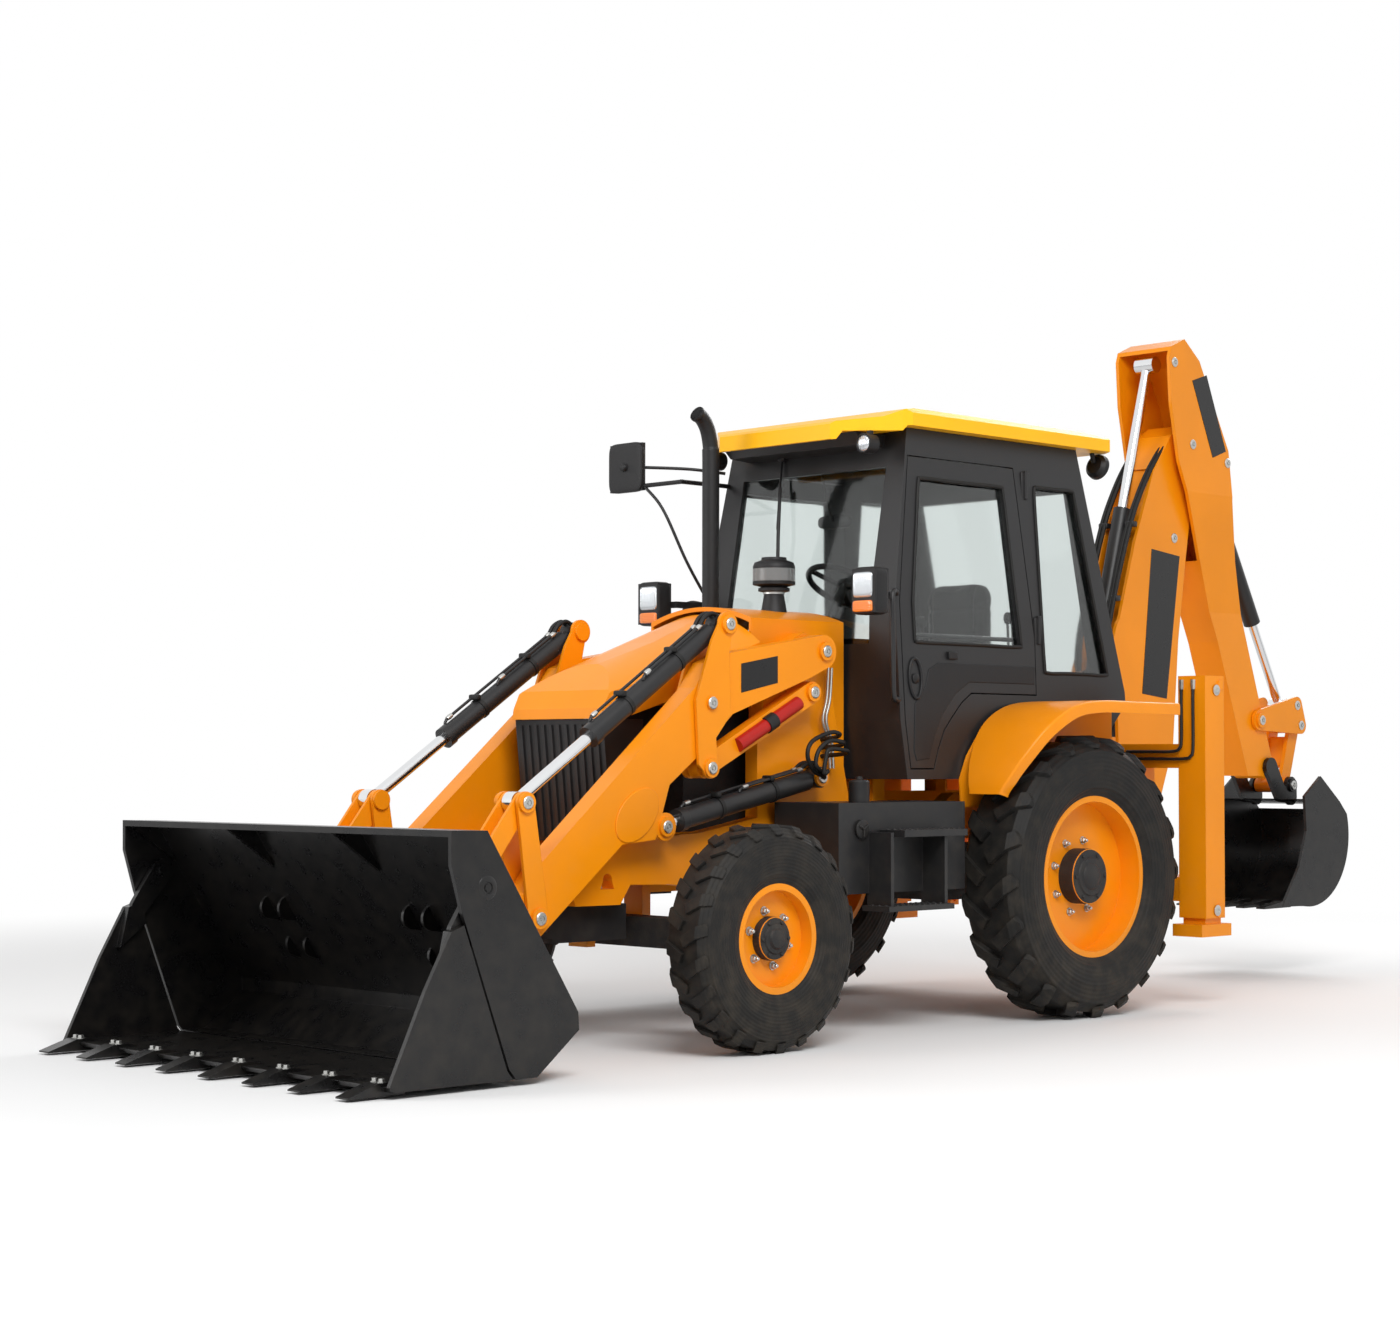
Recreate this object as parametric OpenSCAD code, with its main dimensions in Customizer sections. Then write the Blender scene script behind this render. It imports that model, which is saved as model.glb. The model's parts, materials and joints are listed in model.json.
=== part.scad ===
// Backhoe loader: clam bucket on a parallel-lift loader in front, side-shift backhoe behind.
// Millimetres. +X is forward, +Y is the machine's left, +Z is up.
// Everything is placed from the rear axle's centre line on the ground, then moved so that the
// origin is below the middle of the whole machine.

/* [Wheels] */
// Distance between the axles
wheelbase = 2170; // [2120:5:2220]
// Front tyre outside radius
front_r = 476; // [460:1:490]
// Front tyre width
front_w = 240; // [220:2:250]
// Front wheel centre plane, from the machine's centre line
front_track_y = 949; // [945:1:960]
// Front rim flange radius
front_rim_r = 230; // [215:1:240]
// Rear tyre outside radius
rear_r = 668; // [655:1:680]
// Rear tyre width
rear_w = 350; // [320:2:360]
// Rear wheel centre plane, from the machine's centre line
rear_track_y = 887; // [885:1:900]
// Rear rim flange radius
rear_rim_r = 382; // [370:1:395]
// Height of a rear tread lug
lug_h = 30; // [20:1:36]

/* [Loader] */
// Middle plane of each loader arm, from the machine's centre line
arm_y = 482; // [480:1:490]
// Width of a loader arm
arm_w = 100; // [90:1:104]
// Thickness of a linkage plate
link_t = 15; // [12:1:16]
// Gap between plates that move on each other
link_gap = 5; // [3:0.5:6]
// Radius of the main linkage pins
pin_r = 30; // [24:1:34]
// Lift cylinder tube radius
lift_tube_r = 46; // [40:1:48]
// Tilt cylinder tube radius
tilt_tube_r = 44; // [38:1:48]
// Radius of the loader's piston rods
rod_r = 26; // [20:1:28]

/* [Loader bucket] */
// Width of the loader bucket
bucket_w = 2235; // [2100:5:2300]
// Thickness of the bucket's plates
bucket_t = 20; // [14:1:24]
// Forward reach of the bucket teeth
tooth_tip_x = 4383; // [4360:1:4400]
// Number of teeth on the loader bucket
tooth_count = 8; // [6:1:9]
// Width of a loader bucket tooth
tooth_w = 76; // [60:1:90]

/* [Backhoe] */
// Distance of the slew axis behind the rear axle
slew_x = 1360; // [1350:1:1370]
// Outside width of the boom
boom_w = 236; // [220:2:240]
// Thickness of the boom and dipper side plates
boom_t = 20; // [14:1:24]
// Outside width of the dipper's fork
dipper_w = 364; // [360:1:372]
// Width of the backhoe bucket
hoe_w = 600; // [500:10:640]
// Thickness of the backhoe bucket's plates
hoe_t = 16; // [12:1:20]

/* [Stabilisers] */
// Middle plane of each stabiliser, from the machine's centre line
leg_y = 1030; // [1020:1:1034]
// Side of the stabiliser's outer box
leg_box = 160; // [150:1:164]
// Clearance between the inner leg and its box
leg_gap = 0.5; // [0.3:0.1:3]
// Height of the stabiliser foot above the ground
foot_z = 351; // [340:1:370]

/* [Cab] */
// Thickness of the cab's walls and doors
wall = 40; // [30:1:46]
// Clearance between the rear tyres and the cab
cab_gap = 22; // [20:1:30]
// How far each cab side leans in from floor to roof
cab_lean = 115; // [100:1:130]
// Gap round a door
door_gap = 6; // [5:0.5:10]

/* [Hidden] */

// Radial clearance of a pin in its hole
fit = 0.1;
// Clearance between flat faces that slide
face = 0.4;
paint = [1.0, 0.66, 0.09];
roof_paint = [1.0, 0.80, 0.12];
dark = [0.13, 0.13, 0.14];
black = [0.05, 0.05, 0.055];
steel = [0.75, 0.76, 0.78];

// Loader pins, as [x, z] from the rear axle on the ground
P_ARM = [1342, 1709];
P_LINK = [1402, 1523];
P_LEVER = [2082, 1464];
P_LINK_END = [2083, 1183];
P_TILT = [1978, 1809];
P_LIFT = [1351, 1140];
P_LIFT_END = [2332, 934];
P_TIP = [3057, 575];
P_ROD_END = [3127, 1045];
P_BUCKET = [3330, 400];
P_BUCKET_LINK = [3484, 588];
P_CLAM = [3792, 742];

// Backhoe pins, as [x, z] from the rear axle on the ground
H_FOOT = [-1620, 900];
H_RAM = [-1460, 1200];
H_RAM_END = [-1913, 2443];
H_ELBOW = [-2003, 2964];
H_DIP = [-1335, 1660];
H_DIP_END = [-1836, 3403];
H_CROWD = [-2333, 2886];
H_CROWD_END = [-3108, 1539];
H_LEVER = [-2728, 1448];
H_LINK = [-3148, 1423];
H_BUCKET = [-2835, 1180];
H_BUCKET_LINK = [-3038, 1075];

// Rearmost point of the backhoe bucket's curved back
hoe_back_c = [-2960, 790];
hoe_back_r = 406;
rear_tip_x = hoe_back_c[0] - hoe_back_r;
x_mid = (tooth_tip_x + rear_tip_x) / 2;
cab_y_low = rear_track_y - rear_w / 2 - cab_gap;
cab_y_high = cab_y_low - cab_lean;
cab_top = 2769.7;
cab_y_top = cab_y_low - cab_lean * (cab_top - 1130) / 1560;

module place() translate([-x_mid, 0, 0]) children();
module both_sides() {
  children();
  mirror([0, 1, 0]) children();
}
// An outline in the x-z plane made into a plate from y0 to y0 + w
module plate(y0, w) translate([0, y0 + w, 0]) rotate([90, 0, 0]) linear_extrude(w) children();
// A round bar across the machine at p, from y0 to y1
module cross_pin(p, r, y0, y1) translate([p[0], y1, p[1]]) rotate([90, 0, 0])
  cylinder(r = r, h = y1 - y0, $fn = 48);
// A round bar in the x-z plane, from distance d0 to d1 on the way from a to b
module bar(a, b, y, r, d0, d1) translate([a[0], y, a[1]])
  rotate([0, atan2(b[0] - a[0], b[1] - a[1]), 0]) translate([0, 0, d0])
  cylinder(r = r, h = d1 - d0, $fn = 48);
function span(a, b) = norm(b - a);
// A point on the way from a to b, at distance d from a
function along(a, b, d) = a + d * (b - a) / norm(b - a);
// A closed outline with its points in counter-clockwise order, moved inwards by d
function inset(p, d) = [for (i = [0 : len(p) - 1])
  let (a = p[(i + len(p) - 1) % len(p)], b = p[i], c = p[(i + 1) % len(p)],
    u = (b - a) / norm(b - a), v = (c - b) / norm(c - b),
    n = [-u[1], u[0]], m = [-v[1], v[0]])
  b + d * (n + m) / (1 + n * m)];
// Two discs and the flanks tangent to both
module strap(a, ra, b, rb) {
  L = span(a, b);
  dir = atan2(b[1] - a[1], b[0] - a[0]);
  lean = acos((ra - rb) / L);
  translate(a) circle(r = ra, $fn = 48);
  translate(b) circle(r = rb, $fn = 48);
  polygon([for (s = [lean, -lean]) a + ra * [cos(dir + s), sin(dir + s)],
    for (s = [-lean, lean]) b + rb * [cos(dir + s), sin(dir + s)]]);
}
module disc(p, r) translate(p) circle(r = r, $fn = 48);

// Loader layers, from the arm's middle plane outwards
arm_in = arm_y - arm_w / 2;
arm_out = arm_y + arm_w / 2;
lever_out = arm_out + link_gap;
lever_in = arm_in - link_gap - link_t;
eye_w = arm_w - 2 * link_t - 2 * link_gap;
eye_y0 = arm_y - eye_w / 2;
hub_r = 75;
eye_r = 45;
tower_out = arm_in - 27;
tower_t = 75;

module main_rail_outline() {
  difference() {
    polygon([[-780, 840], [-780, 1060], [300, 1060], [500, 940], [1050, 940], [1050, 1060],
      [1188, 1630], [1250, 1760], [1342, 1800], [1440, 1760], [1600, 1500], [1650, 1300],
      [1650, 960], [wheelbase - 166, 900], [wheelbase + 560, 860], [wheelbase + 620, 780],
      [wheelbase + 561, 605], [wheelbase + 307, 603], [wheelbase + 249, 686], [wheelbase + 26, 680],
      [wheelbase - 210, 660], [1800, 600], [700, 600], [420, 700], [260, 840]]);
    translate([wheelbase + 381, 711]) {
      circle(r = 26, $fn = 40);
      polygon([[-26, -6], [26, -6], [39, -39], [-39, -39]]);
    }
  }
}
module main_frame() color(paint) place() {
  difference() {
    union() {
      both_sides() {
        plate(tower_out - tower_t, tower_t) main_rail_outline();
        cross_pin(P_ARM, hub_r - 15, tower_out, arm_in - face);
        cross_pin(P_ARM, pin_r, tower_out, arm_out + 14);
        cross_pin(P_ARM, pin_r + 12, arm_out + face, arm_out + 14);
        for (p = [P_LINK, P_LIFT]) {
          cross_pin(p, hub_r - 15, tower_out, eye_y0 - face);
          cross_pin(p, pin_r, tower_out, eye_y0 + eye_w + 14);
          cross_pin(p, pin_r + 12, eye_y0 + eye_w + face, eye_y0 + eye_w + 14);
        }
      }
      for (x = [-740, 700, 1700, wheelbase + 470]) translate([x, -tower_out + 10, 760 + (x < 0 ? 100 : 0)])
        cube([60, 2 * tower_out - 20, 80]);
      for (x = [wheelbase - 190, wheelbase + 140]) translate([x, -60, 400]) cube([50, 120, 460]);
      translate([wheelbase - 190, -tower_out + 10, 781.7]) cube([380, 2 * tower_out - 20, 80]);
      both_sides() for (x = [-500, 800]) translate([x, tower_out - tower_t, 920]) cube([80, 75, 210]);
      both_sides() translate([760, tower_out - 5, 700]) cube([80, 60, 120]);
      both_sides() translate([1400, tower_out - 5, 700]) cube([80, 60, 120]);
    }
    translate([wheelbase - 300, 0, front_r]) rotate([0, 90, 0])
      cylinder(r = 40 + fit, h = 600, $fn = 48);
  }
}
module front_weight() color(dark) place() {
  translate([wheelbase + 205, -330, 450]) cube([420, 660, 153]);
  both_sides() difference() {
    translate([wheelbase + 620, 290, 470]) cube([75, 40, 100]);
    cross_pin([wheelbase + 658, 520], 22, 280, 340);
  }
}
module engine() color([0.3, 0.3, 0.32]) place() {
  translate([1180, -250, 900]) cube([780, 500, 560]);
}
module front_axle() color(dark) place() {
  king_y = 800;
  difference() {
    union() {
      translate([wheelbase - 60, -700, front_r - 70]) cube([120, 1400, 130]);
      translate([wheelbase - 200, 0, front_r]) rotate([0, 90, 0])
        cylinder(r = 40, h = 400, $fn = 48);
      both_sides() {
        translate([wheelbase - 60, 660, front_r - 100]) cube([120, 40, 200]);
        for (z = [-100, 70]) {
          translate([wheelbase - 60, 690, front_r + z]) cube([120, 110, 30]);
          translate([wheelbase, king_y, front_r + z]) cylinder(r = 60, h = 30, $fn = 48);
        }
      }
    }
    both_sides() translate([wheelbase, king_y, front_r - 120])
      cylinder(r = 28 + fit, h = 240, $fn = 48);
  }
}
module knuckle() translate([wheelbase, 800, front_r]) {
  translate([0, 0, -112]) cylinder(r = 28, h = 224, $fn = 48);
  translate([0, 0, -69]) cylinder(r = 54, h = 138, $fn = 48);
  rotate([-90, 0, 0]) cylinder(r = 40, h = front_track_y - 800 + 40, $fn = 48);
  translate([-150, -25, -20]) cube([130, 50, 40]);
}
module knuckle_left() color(dark) place() knuckle();
module knuckle_right() color(dark) place() mirror([0, 1, 0]) knuckle();

// Tyre section: bead, bulging wall, round shoulder and tread
module tyre_ring(r, w, rim_r) rotate([-90, 0, 0]) rotate_extrude($fn = 120)
  polygon([[rim_r + 0.3, -w * 0.38], [rim_r + 40, -w * 0.46], [(r + rim_r) / 2, -w / 2],
    [r - 40, -w * 0.47], [r, -w * 0.34], [r, w * 0.34], [r - 40, w * 0.47],
    [(r + rim_r) / 2, w / 2], [rim_r + 40, w * 0.46], [rim_r + 0.3, w * 0.38]]);
// Tyre: a carcass, and two staggered rows of slanting lugs that reach the outside radius
module tyre(r, w, rim_r, h, count, bar, slant) {
  difference() {
    tyre_ring(r - h, w, rim_r);
  }
  intersection() {
    tyre_ring(r, w, rim_r);
    for (s = [-1, 1]) for (i = [0 : count - 1]) rotate([0, (i + 0.25 * s) * 360 / count, 0])
      translate([0, s * w * 0.25, r - h - 30]) rotate([0, 0, s * slant])
      translate([-bar / 2, -w * 0.26, 0]) cube([bar, w * 0.52, h + 40]);
  }
}
module rim(rim_r, w, dish_y, hub_r0, bore_r) {
  rotate([-90, 0, 0]) difference() {
    rotate_extrude($fn = 96) {
      polygon([[rim_r - 28, -w * 0.38], [rim_r, -w * 0.38], [rim_r, -w * 0.34],
        [rim_r - 16, -w * 0.33], [rim_r - 16, w * 0.33], [rim_r, w * 0.34],
        [rim_r, w * 0.38], [rim_r - 28, w * 0.38], [rim_r - 28, dish_y + 20],
        [hub_r0, dish_y + 20], [hub_r0, w * 0.30], [0, w * 0.30], [0, dish_y - 50],
        [hub_r0 - 10, dish_y - 50], [hub_r0, dish_y], [rim_r - 28, dish_y]]);
    }
    translate([0, 0, -400]) cylinder(r = bore_r, h = 400 + w * 0.30 - 30, $fn = 48);
  }
}
module front_wheel_at() translate([wheelbase, front_track_y, front_r]) children();
module rear_wheel_at() translate([0, rear_track_y, rear_r]) children();
module front_rim() front_wheel_at() rim(front_rim_r, front_w, 10, 90, 40 + fit);
module rear_rim() rear_wheel_at() rim(rear_rim_r, rear_w, 0, 130, 60 + fit);
module front_tyre() front_wheel_at() tyre(front_r, front_w, front_rim_r, lug_h / 2, 22, 46, 28);
module rear_tyre() rear_wheel_at() tyre(rear_r, rear_w, rear_rim_r, lug_h, 20, 62, 38);
module rim_front_left() color(paint) place() front_rim();
module rim_front_right() color(paint) place() mirror([0, 1, 0]) front_rim();
module rim_rear_left() color(paint) place() rear_rim();
module rim_rear_right() color(paint) place() mirror([0, 1, 0]) rear_rim();
module tyre_front_left() color(black) place() front_tyre();
module tyre_front_right() color(black) place() mirror([0, 1, 0]) front_tyre();
module tyre_rear_left() color(black) place() rear_tyre();
module tyre_rear_right() color(black) place() mirror([0, 1, 0]) rear_tyre();

module rear_axle() color(dark) place() translate([0, 0, rear_r]) {
  translate([-150, -180, -140]) cube([300, 360, 280]);
  rotate([90, 0, 0]) translate([0, 0, -690]) cylinder(r = 95, h = 1380, $fn = 64);
  rotate([90, 0, 0]) translate([0, 0, -rear_track_y - 60])
    cylinder(r = 60, h = 2 * rear_track_y + 120, $fn = 64);
  both_sides() {
    translate([-80, tower_out - tower_t, 60]) cube([160, tower_t, 112]);
    rotate([-90, 0, 0]) translate([0, 0, 640]) cylinder(r = 140, h = 60, $fn = 64);
  }
}
module side_tanks() color(dark) place() both_sides() {
  translate([746, 460, 630]) cube([850, 390, 400]);
  translate([905, 840, 880]) cube([427, 160, 30]);
  translate([997, 840, 555]) cube([436, 160, 24]);
  for (x = [1020, 1380]) translate([x, 840, 560]) cube([20, 140, 340]);
}
nose_x = 2490;
nose_half = 295;
hood_half = 395;
hood_x = 1620;
hood_t = 14;
hood_crown = 130;
exhaust = [1280, -262];
exhaust_r = 50;
cleaner = [1230, 100];
cleaner_r = 55;
cowl_half = tower_out - tower_t - 0.3;
// Plan of the engine covers: straight behind, drawn in towards the nose
hood_plan = [[900, -hood_half], [1700, -hood_half], [nose_x, -nose_half], [nose_x, nose_half],
  [1700, hood_half], [900, hood_half]];
// Side view of the front cover, from its hinge to the nose lip
hood_side = [[hood_x, 1640], [2380, 1395], [nose_x, 1395], [nose_x - 8, 1440], [2440, 1520],
  [2291, 1640], [1990, 1745], [hood_x, 1885]];
module grille() color(dark) place() {
  difference() {
    plate(-nose_half + 5, 2 * nose_half - 10) polygon([[2240, 862], [2420, 862], [2475, 1394.7], [2240, 1394.7]]);
    plate(-nose_half + 25, 2 * nose_half - 50) polygon([[2200, 850], [2395, 850], [2450, 1400], [2200, 1400]]);
  }
  for (y = [-250 : 50 : 250]) plate(y - 8, 16)
    polygon([[2410, 880], [2431, 880], [2480, 1370], [2465, 1370]]);
}
module hood_core(d) intersection() {
  plate(-500, 1000) polygon(inset(hood_side, d));
  linear_extrude(2200) polygon(inset(hood_plan, d));
  translate([hood_x, 0, 1885]) rotate([0, 20, 0]) rotate([90, 0, 90]) translate([0, -1000])
    linear_extrude(2400, center = true) crowned(hood_half, hood_crown, 1000 + 1 - d);
}
// A wall of the given height below a crowned top
module crowned(half, crown, top) {
  r = (half * half + crown * crown) / (2 * crown);
  intersection() {
    translate([0, top - r]) circle(r = r, $fn = 180);
    translate([-half, 0]) square([2 * half, top + 1]);
  }
}
module bonnet() color(paint) place() difference() {
  hood_core(0);
  hood_core(hood_t);
  plate(-nose_half + hood_t, 2 * (nose_half - hood_t)) polygon([[1600, 1500], [2476, 1300], [2476, 1409], [1600, 1660]]);
}
module rear_cowl() color(paint) place() difference() {
  translate([0, 0, 960]) rotate([90, 0, 90]) translate([0, 0, 1000]) linear_extrude(hood_x - 1006)
    crowned(cowl_half, 60, 960);
  translate([0, 0, 940]) rotate([90, 0, 90]) translate([0, 0, 990]) linear_extrude(hood_x)
    crowned(cowl_half - hood_t, 60, 960);
  for (p = [[exhaust[0], exhaust[1], exhaust_r + 0.3], [cleaner[0], cleaner[1], cleaner_r + 0.3]])
    translate([p[0], p[1], 1500]) cylinder(r = p[2], h = 800, $fn = 48);
}
module stacks() color(dark) place() {
  difference() {
    translate([exhaust[0], exhaust[1], 1460]) cylinder(r = exhaust_r, h = 1425, $fn = 48);
    translate([exhaust[0], exhaust[1], 2700]) cylinder(r = exhaust_r - 4, h = 200, $fn = 48);
    translate([exhaust[0] - 60, exhaust[1] - 60, 2890]) rotate([0, 32, 0]) cube([200, 120, 100]);
  }
  difference() {
    translate([exhaust[0], exhaust[1], 1900]) cylinder(r = exhaust_r + 9, h = 640, $fn = 48);
    translate([exhaust[0], exhaust[1], 1890]) cylinder(r = exhaust_r - 4, h = 660, $fn = 48);
  }
  translate([cleaner[0], cleaner[1], 1460]) cylinder(r = cleaner_r, h = 540, $fn = 48);
  translate([cleaner[0], cleaner[1], 1990]) cylinder(r = 70, h = 60, $fn = 64);
  translate([cleaner[0], cleaner[1], 2035]) cylinder(r = 100, h = 110, $fn = 64);
  translate([cleaner[0], cleaner[1], 2140]) cylinder(r = 62, h = 28, $fn = 64);
}

// Cab: an extruded cross-section with leaning sides cut to the side profile
module cab_solid(inset) intersection() {
  translate([-900, 0, 0]) rotate([90, 0, 90]) linear_extrude(2100) polygon([
    [-cab_y_low + inset, 1130 + inset], [cab_y_low - inset, 1130 + inset],
    [cab_y_top - inset, cab_top - inset], [-cab_y_top + inset, cab_top - inset]]);
  plate(-800, 1600) polygon([[960 - inset, 1130], [985 - inset, 1400], [975 - inset, 1950],
    [825 - inset, cab_top], [-452 + inset, cab_top], [-730 + inset, 1560], [-730 + inset, 1500],
    [-560 + inset, 1340], [-560 + inset, 1130]]);
}
module cab_shell() difference() {
  cab_solid(0);
  cab_solid(wall);
}
door_cut = [[935, 1175], [955, 1400], [948, 1950], [832, 2640], [55, 2640], [-35, 1810],
  [-20, 1530], [470, 1530], [545, 1484], [620, 1416], [680, 1356], [724, 1280], [770, 1175]];
// The band of the leaning side wall, which holds the door and its opening
module side_band() translate([-900, 0, 0]) rotate([90, 0, 90]) linear_extrude(2100) polygon([
  [cab_y_low - wall - 3, 1130], [cab_y_low + 60, 1130], [cab_y_top + 60, cab_top],
  [cab_y_top - wall - 3, cab_top]]);
door_glass = [[850, 1760], [850, 1950], [760, 2540], [150, 2540], [80, 1760]];
module cab() color(dark) place() {
  difference() {
    cab_shell();
    both_sides() intersection() {
      side_band();
      plate(400, 400) polygon(door_cut);
    }
    both_sides() plate(400, 400) {
      polygon([[-90, 2560], [-600, 1640], [-90, 1640]]);
      polygon([[-90, 2560], [-410, 2560], [-600, 1640]]);
    }
    translate([500, -cab_y_high + 105, 1760]) cube([700, 2 * cab_y_high - 210, 830]);
    translate([-900, -cab_y_high + 95, 1620]) cube([600, 2 * cab_y_high - 190, 940]);
  }
  plate(-440, 880) polygon([[820, 2680], [980, 2690], [1040, 2744.7], [800, 2744.7]]);
}
module door() intersection() {
  cab_solid(0);
  side_band();
  plate(400, 400) difference() {
    polygon(inset(door_cut, door_gap));
    polygon(door_glass);
  }
}
module door_left() color(dark) place() door();
module door_right() color(dark) place() mirror([0, 1, 0]) door();
module roof() color(roof_paint) place() intersection() {
  plate(-800, 1600) polygon([[1110, 2707], [1130, 2707], [1130, 2778], [1112, 2792], [960, 2812],
    [890, 2846], [700, 2874], [200, 2882], [-400, 2862], [-670, 2836], [-700, 2800], [-700, 2770],
    [880, 2770], [900, 2745], [1090, 2745]]);
  translate([0, 0, 2600]) linear_extrude(400) polygon([[1130, -365], [1130, 365], [900, 612],
    [860, 640], [-640, 640], [-700, 560], [-700, -560], [-640, -640], [860, -640], [900, -612]]);
  translate([-1000, 0, 0]) rotate([90, 0, 90]) linear_extrude(2400) polygon([[-640, 2600],
    [640, 2600], [640, 2830], [610, 2856], [320, 2882], [-320, 2882], [-610, 2856], [-640, 2830]]);
}
module fenders() color(paint) place() both_sides() difference() {
  union() {
    plate(cab_y_low + 0.3, rear_w + 76) polygon([[-560, 1500], [250, 1500], [520, 1340], [640, 1070], [610, 1070],
      [500, 1310], [235, 1460], [-560, 1460]]);
    plate(cab_y_low + 0.3, 14) polygon([[-560, 1480], [240, 1480], [510, 1320], [640, 1070], [600, 1000], [-560, 1000]]);
  }
  cross_pin([0, rear_r], rear_r + 25, 600, 900);
}
module seat() color(dark) place() {
  translate([-250, -260, 1130 + wall]) cube([440, 520, 400]);
  translate([-290, -240, 1500]) cube([130, 480, 650]);
}
module controls() color(dark) place() {
  translate([700, -300, 1130 + wall]) cube([200, 600, 620]);
  translate([640, 0, 2060]) rotate([0, -30, 0]) {
    rotate_extrude($fn = 60) translate([180, 0]) circle(r = 15, $fn = 24);
    translate([0, 0, -380]) cylinder(r = 24, h = 385, $fn = 32);
    for (a = [90 : 120 : 330]) rotate([0, 0, a]) translate([0, -14, -10]) cube([180, 28, 14]);
  }
}
module lamps() color(black) place() {
  both_sides() {
    translate([1190, 640, 1880]) cube([90, 140, 200]);
    translate([973.5, 590, 1960]) cube([226, 35, 30]);
    translate([1172, 590, 1960]) cube([30, 60, 30]);
    translate([985, 500, 2683]) rotate([0, 90, 0]) cylinder(r = 45, h = 60, $fn = 48);
    translate([992, 488, 2700]) cube([20, 24, 44.7]);
  }
  translate([862.9, -572, 2575]) rotate([0, 90, 0]) cylinder(r = 11, h = 330, $fn = 32);
  translate([1185, -900, 2575]) rotate([-90, 0, 0]) cylinder(r = 11, h = 335, $fn = 32);
  translate([1185, -955, 2575]) rotate([-90, 0, 0]) cylinder(r = 11, h = 60, $fn = 32);
  translate([1180, -1073, 2553]) cube([22, 235, 237]);
}

module hoe_frame() color(paint) place() {
  rail_x0 = -1030;
  for (z = [520, 1180]) translate([rail_x0, -leg_y + leg_box / 2, z]) cube([250, 2 * leg_y - leg_box, 120]);
  both_sides() {
    difference() {
      translate([-936, leg_y - leg_box / 2, 440]) cube([leg_box, leg_box, 1197]);
      translate([-936 + 14, leg_y - leg_box / 2 + 14, 400]) cube([leg_box - 28, leg_box - 28, 1200]);
    }
    translate([rail_x0, 560, 520]) cube([250, 60, 780]);
    translate([rail_x0, tower_out - tower_t, 520]) cube([250, tower_t, 780]);
    for (y = [leg_y - leg_box / 2 - 7, leg_y + leg_box / 2 - 10]) cross_pin([-901, 1592], 24, y, y + 17);
    cross_pin([-886, 476], 34, leg_y + leg_box / 2 - 10, leg_y + leg_box / 2 + 7);
    difference() {
      translate([rail_x0 + 10, 680, 430]) cube([70, 40, 100]);
      cross_pin([rail_x0 + 45, 470], 22, 670, 730);
    }
  }
}
lug_low = 480;
lug_high = 1040;
module carriage() color(paint) place() {
  translate([-1090, -330, 480]) cube([60 - face, 660, 860]);
  for (z = [lug_low, lug_high]) difference() {
    union() {
      translate([-slew_x, 0, z]) cylinder(r = 95, h = 100, $fn = 64);
      translate([-slew_x, -75, z]) cube([280, 150, 100]);
    }
    translate([-slew_x, 0, z - 10]) cylinder(r = 50 + fit, h = 120, $fn = 48);
  }
}
module kingpost() color(paint) place() difference() {
  union() {
    translate([-slew_x, 0, 470]) cylinder(r = 50, h = 860, $fn = 48);
    translate([-slew_x, 0, lug_low + 100 + face]) cylinder(r = 90, h = lug_high - lug_low - 100 - 2 * face, $fn = 64);
    plate(-88, 176) strap(H_FOOT, 70, [-slew_x, 800], 88);
    plate(-88, 176) strap(H_RAM, 50, [-slew_x + 20, 1240], 90);
    cross_pin(H_FOOT, 35, -boom_w / 2 - 14, boom_w / 2 + 14);
    both_sides() cross_pin(H_FOOT, 48, boom_w / 2 + face, boom_w / 2 + 14);
  }
  difference() {
    plate(-60, 120) {
      disc(H_RAM, 52);
      polygon([[-1412, 1150], [-1412, 1450], [-1700, 1450], [-1700, 1050], [-1430, 1050]]);
    }
    cross_pin(H_RAM, pin_r, -200, 200);
  }
  translate([-slew_x, 0, lug_high - face]) difference() {
    cylinder(r = 140, h = 100 + 2 * face, $fn = 64);
    translate([0, 0, -1]) cylinder(r = 50, h = 200, $fn = 48);
  }
}
boom_outline = [[-1540, 830], [-1400, 1300], [-1375, 1858], [-1559, 2406], [-1727, 2800],
  [-1890, 3010], [-2003, 3074], [-2113, 2964], [-2069, 2592], [-2019, 2322], [-1947, 1876],
  [-1894, 1297], [-1700, 830]];
module boom() color(paint) place() {
  difference() {
    union() {
      plate(-boom_w / 2, boom_w) {
        polygon(boom_outline);
        disc(H_FOOT, 85);
      }
      plate(-boom_w / 2, boom_w) strap(H_DIP, 50, [-1480, 1900], 100);
    }
    plate(-boom_w / 2 + boom_t, boom_w - 2 * boom_t) difference() {
      polygon([[-1200, 600], [-1200, 1700], [-1500, 2440], [-1730, 2815], [-1930, 2830],
        [-2040, 2592], [-1992, 2322], [-1920, 1876], [-1866, 1297], [-1800, 600]]);
      polygon([[-1476, 1880], [-1688, 2650], [-1760, 2840], [-1780, 2830], [-1708, 2650], [-1496, 1880]]);
    }
    cross_pin(H_FOOT, 35 + fit, -200, 200);
    cross_pin(H_ELBOW, 35 + fit, -200, 200);
  }
  cross_pin(H_DIP, pin_r, -100, 100);
  both_sides() cross_pin(H_DIP, 42, 58, 100);
}
module boom_tube() color(dark) place() difference() {
  union() {
    cross_pin(H_RAM, 45, -55, 55);
    bar(H_RAM, H_RAM_END, 0, 52, 30, 1120);
  }
  cross_pin(H_RAM, pin_r + fit, -200, 200);
  bar(H_RAM, H_RAM_END, 0, 30 + fit, 420, 1130);
}
module boom_rod() color(steel) place() {
  bar(H_RAM, H_RAM_END, 0, 30, 700, span(H_RAM, H_RAM_END) - 20);
  cross_pin(H_RAM_END, 45, -50, 50);
}
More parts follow.
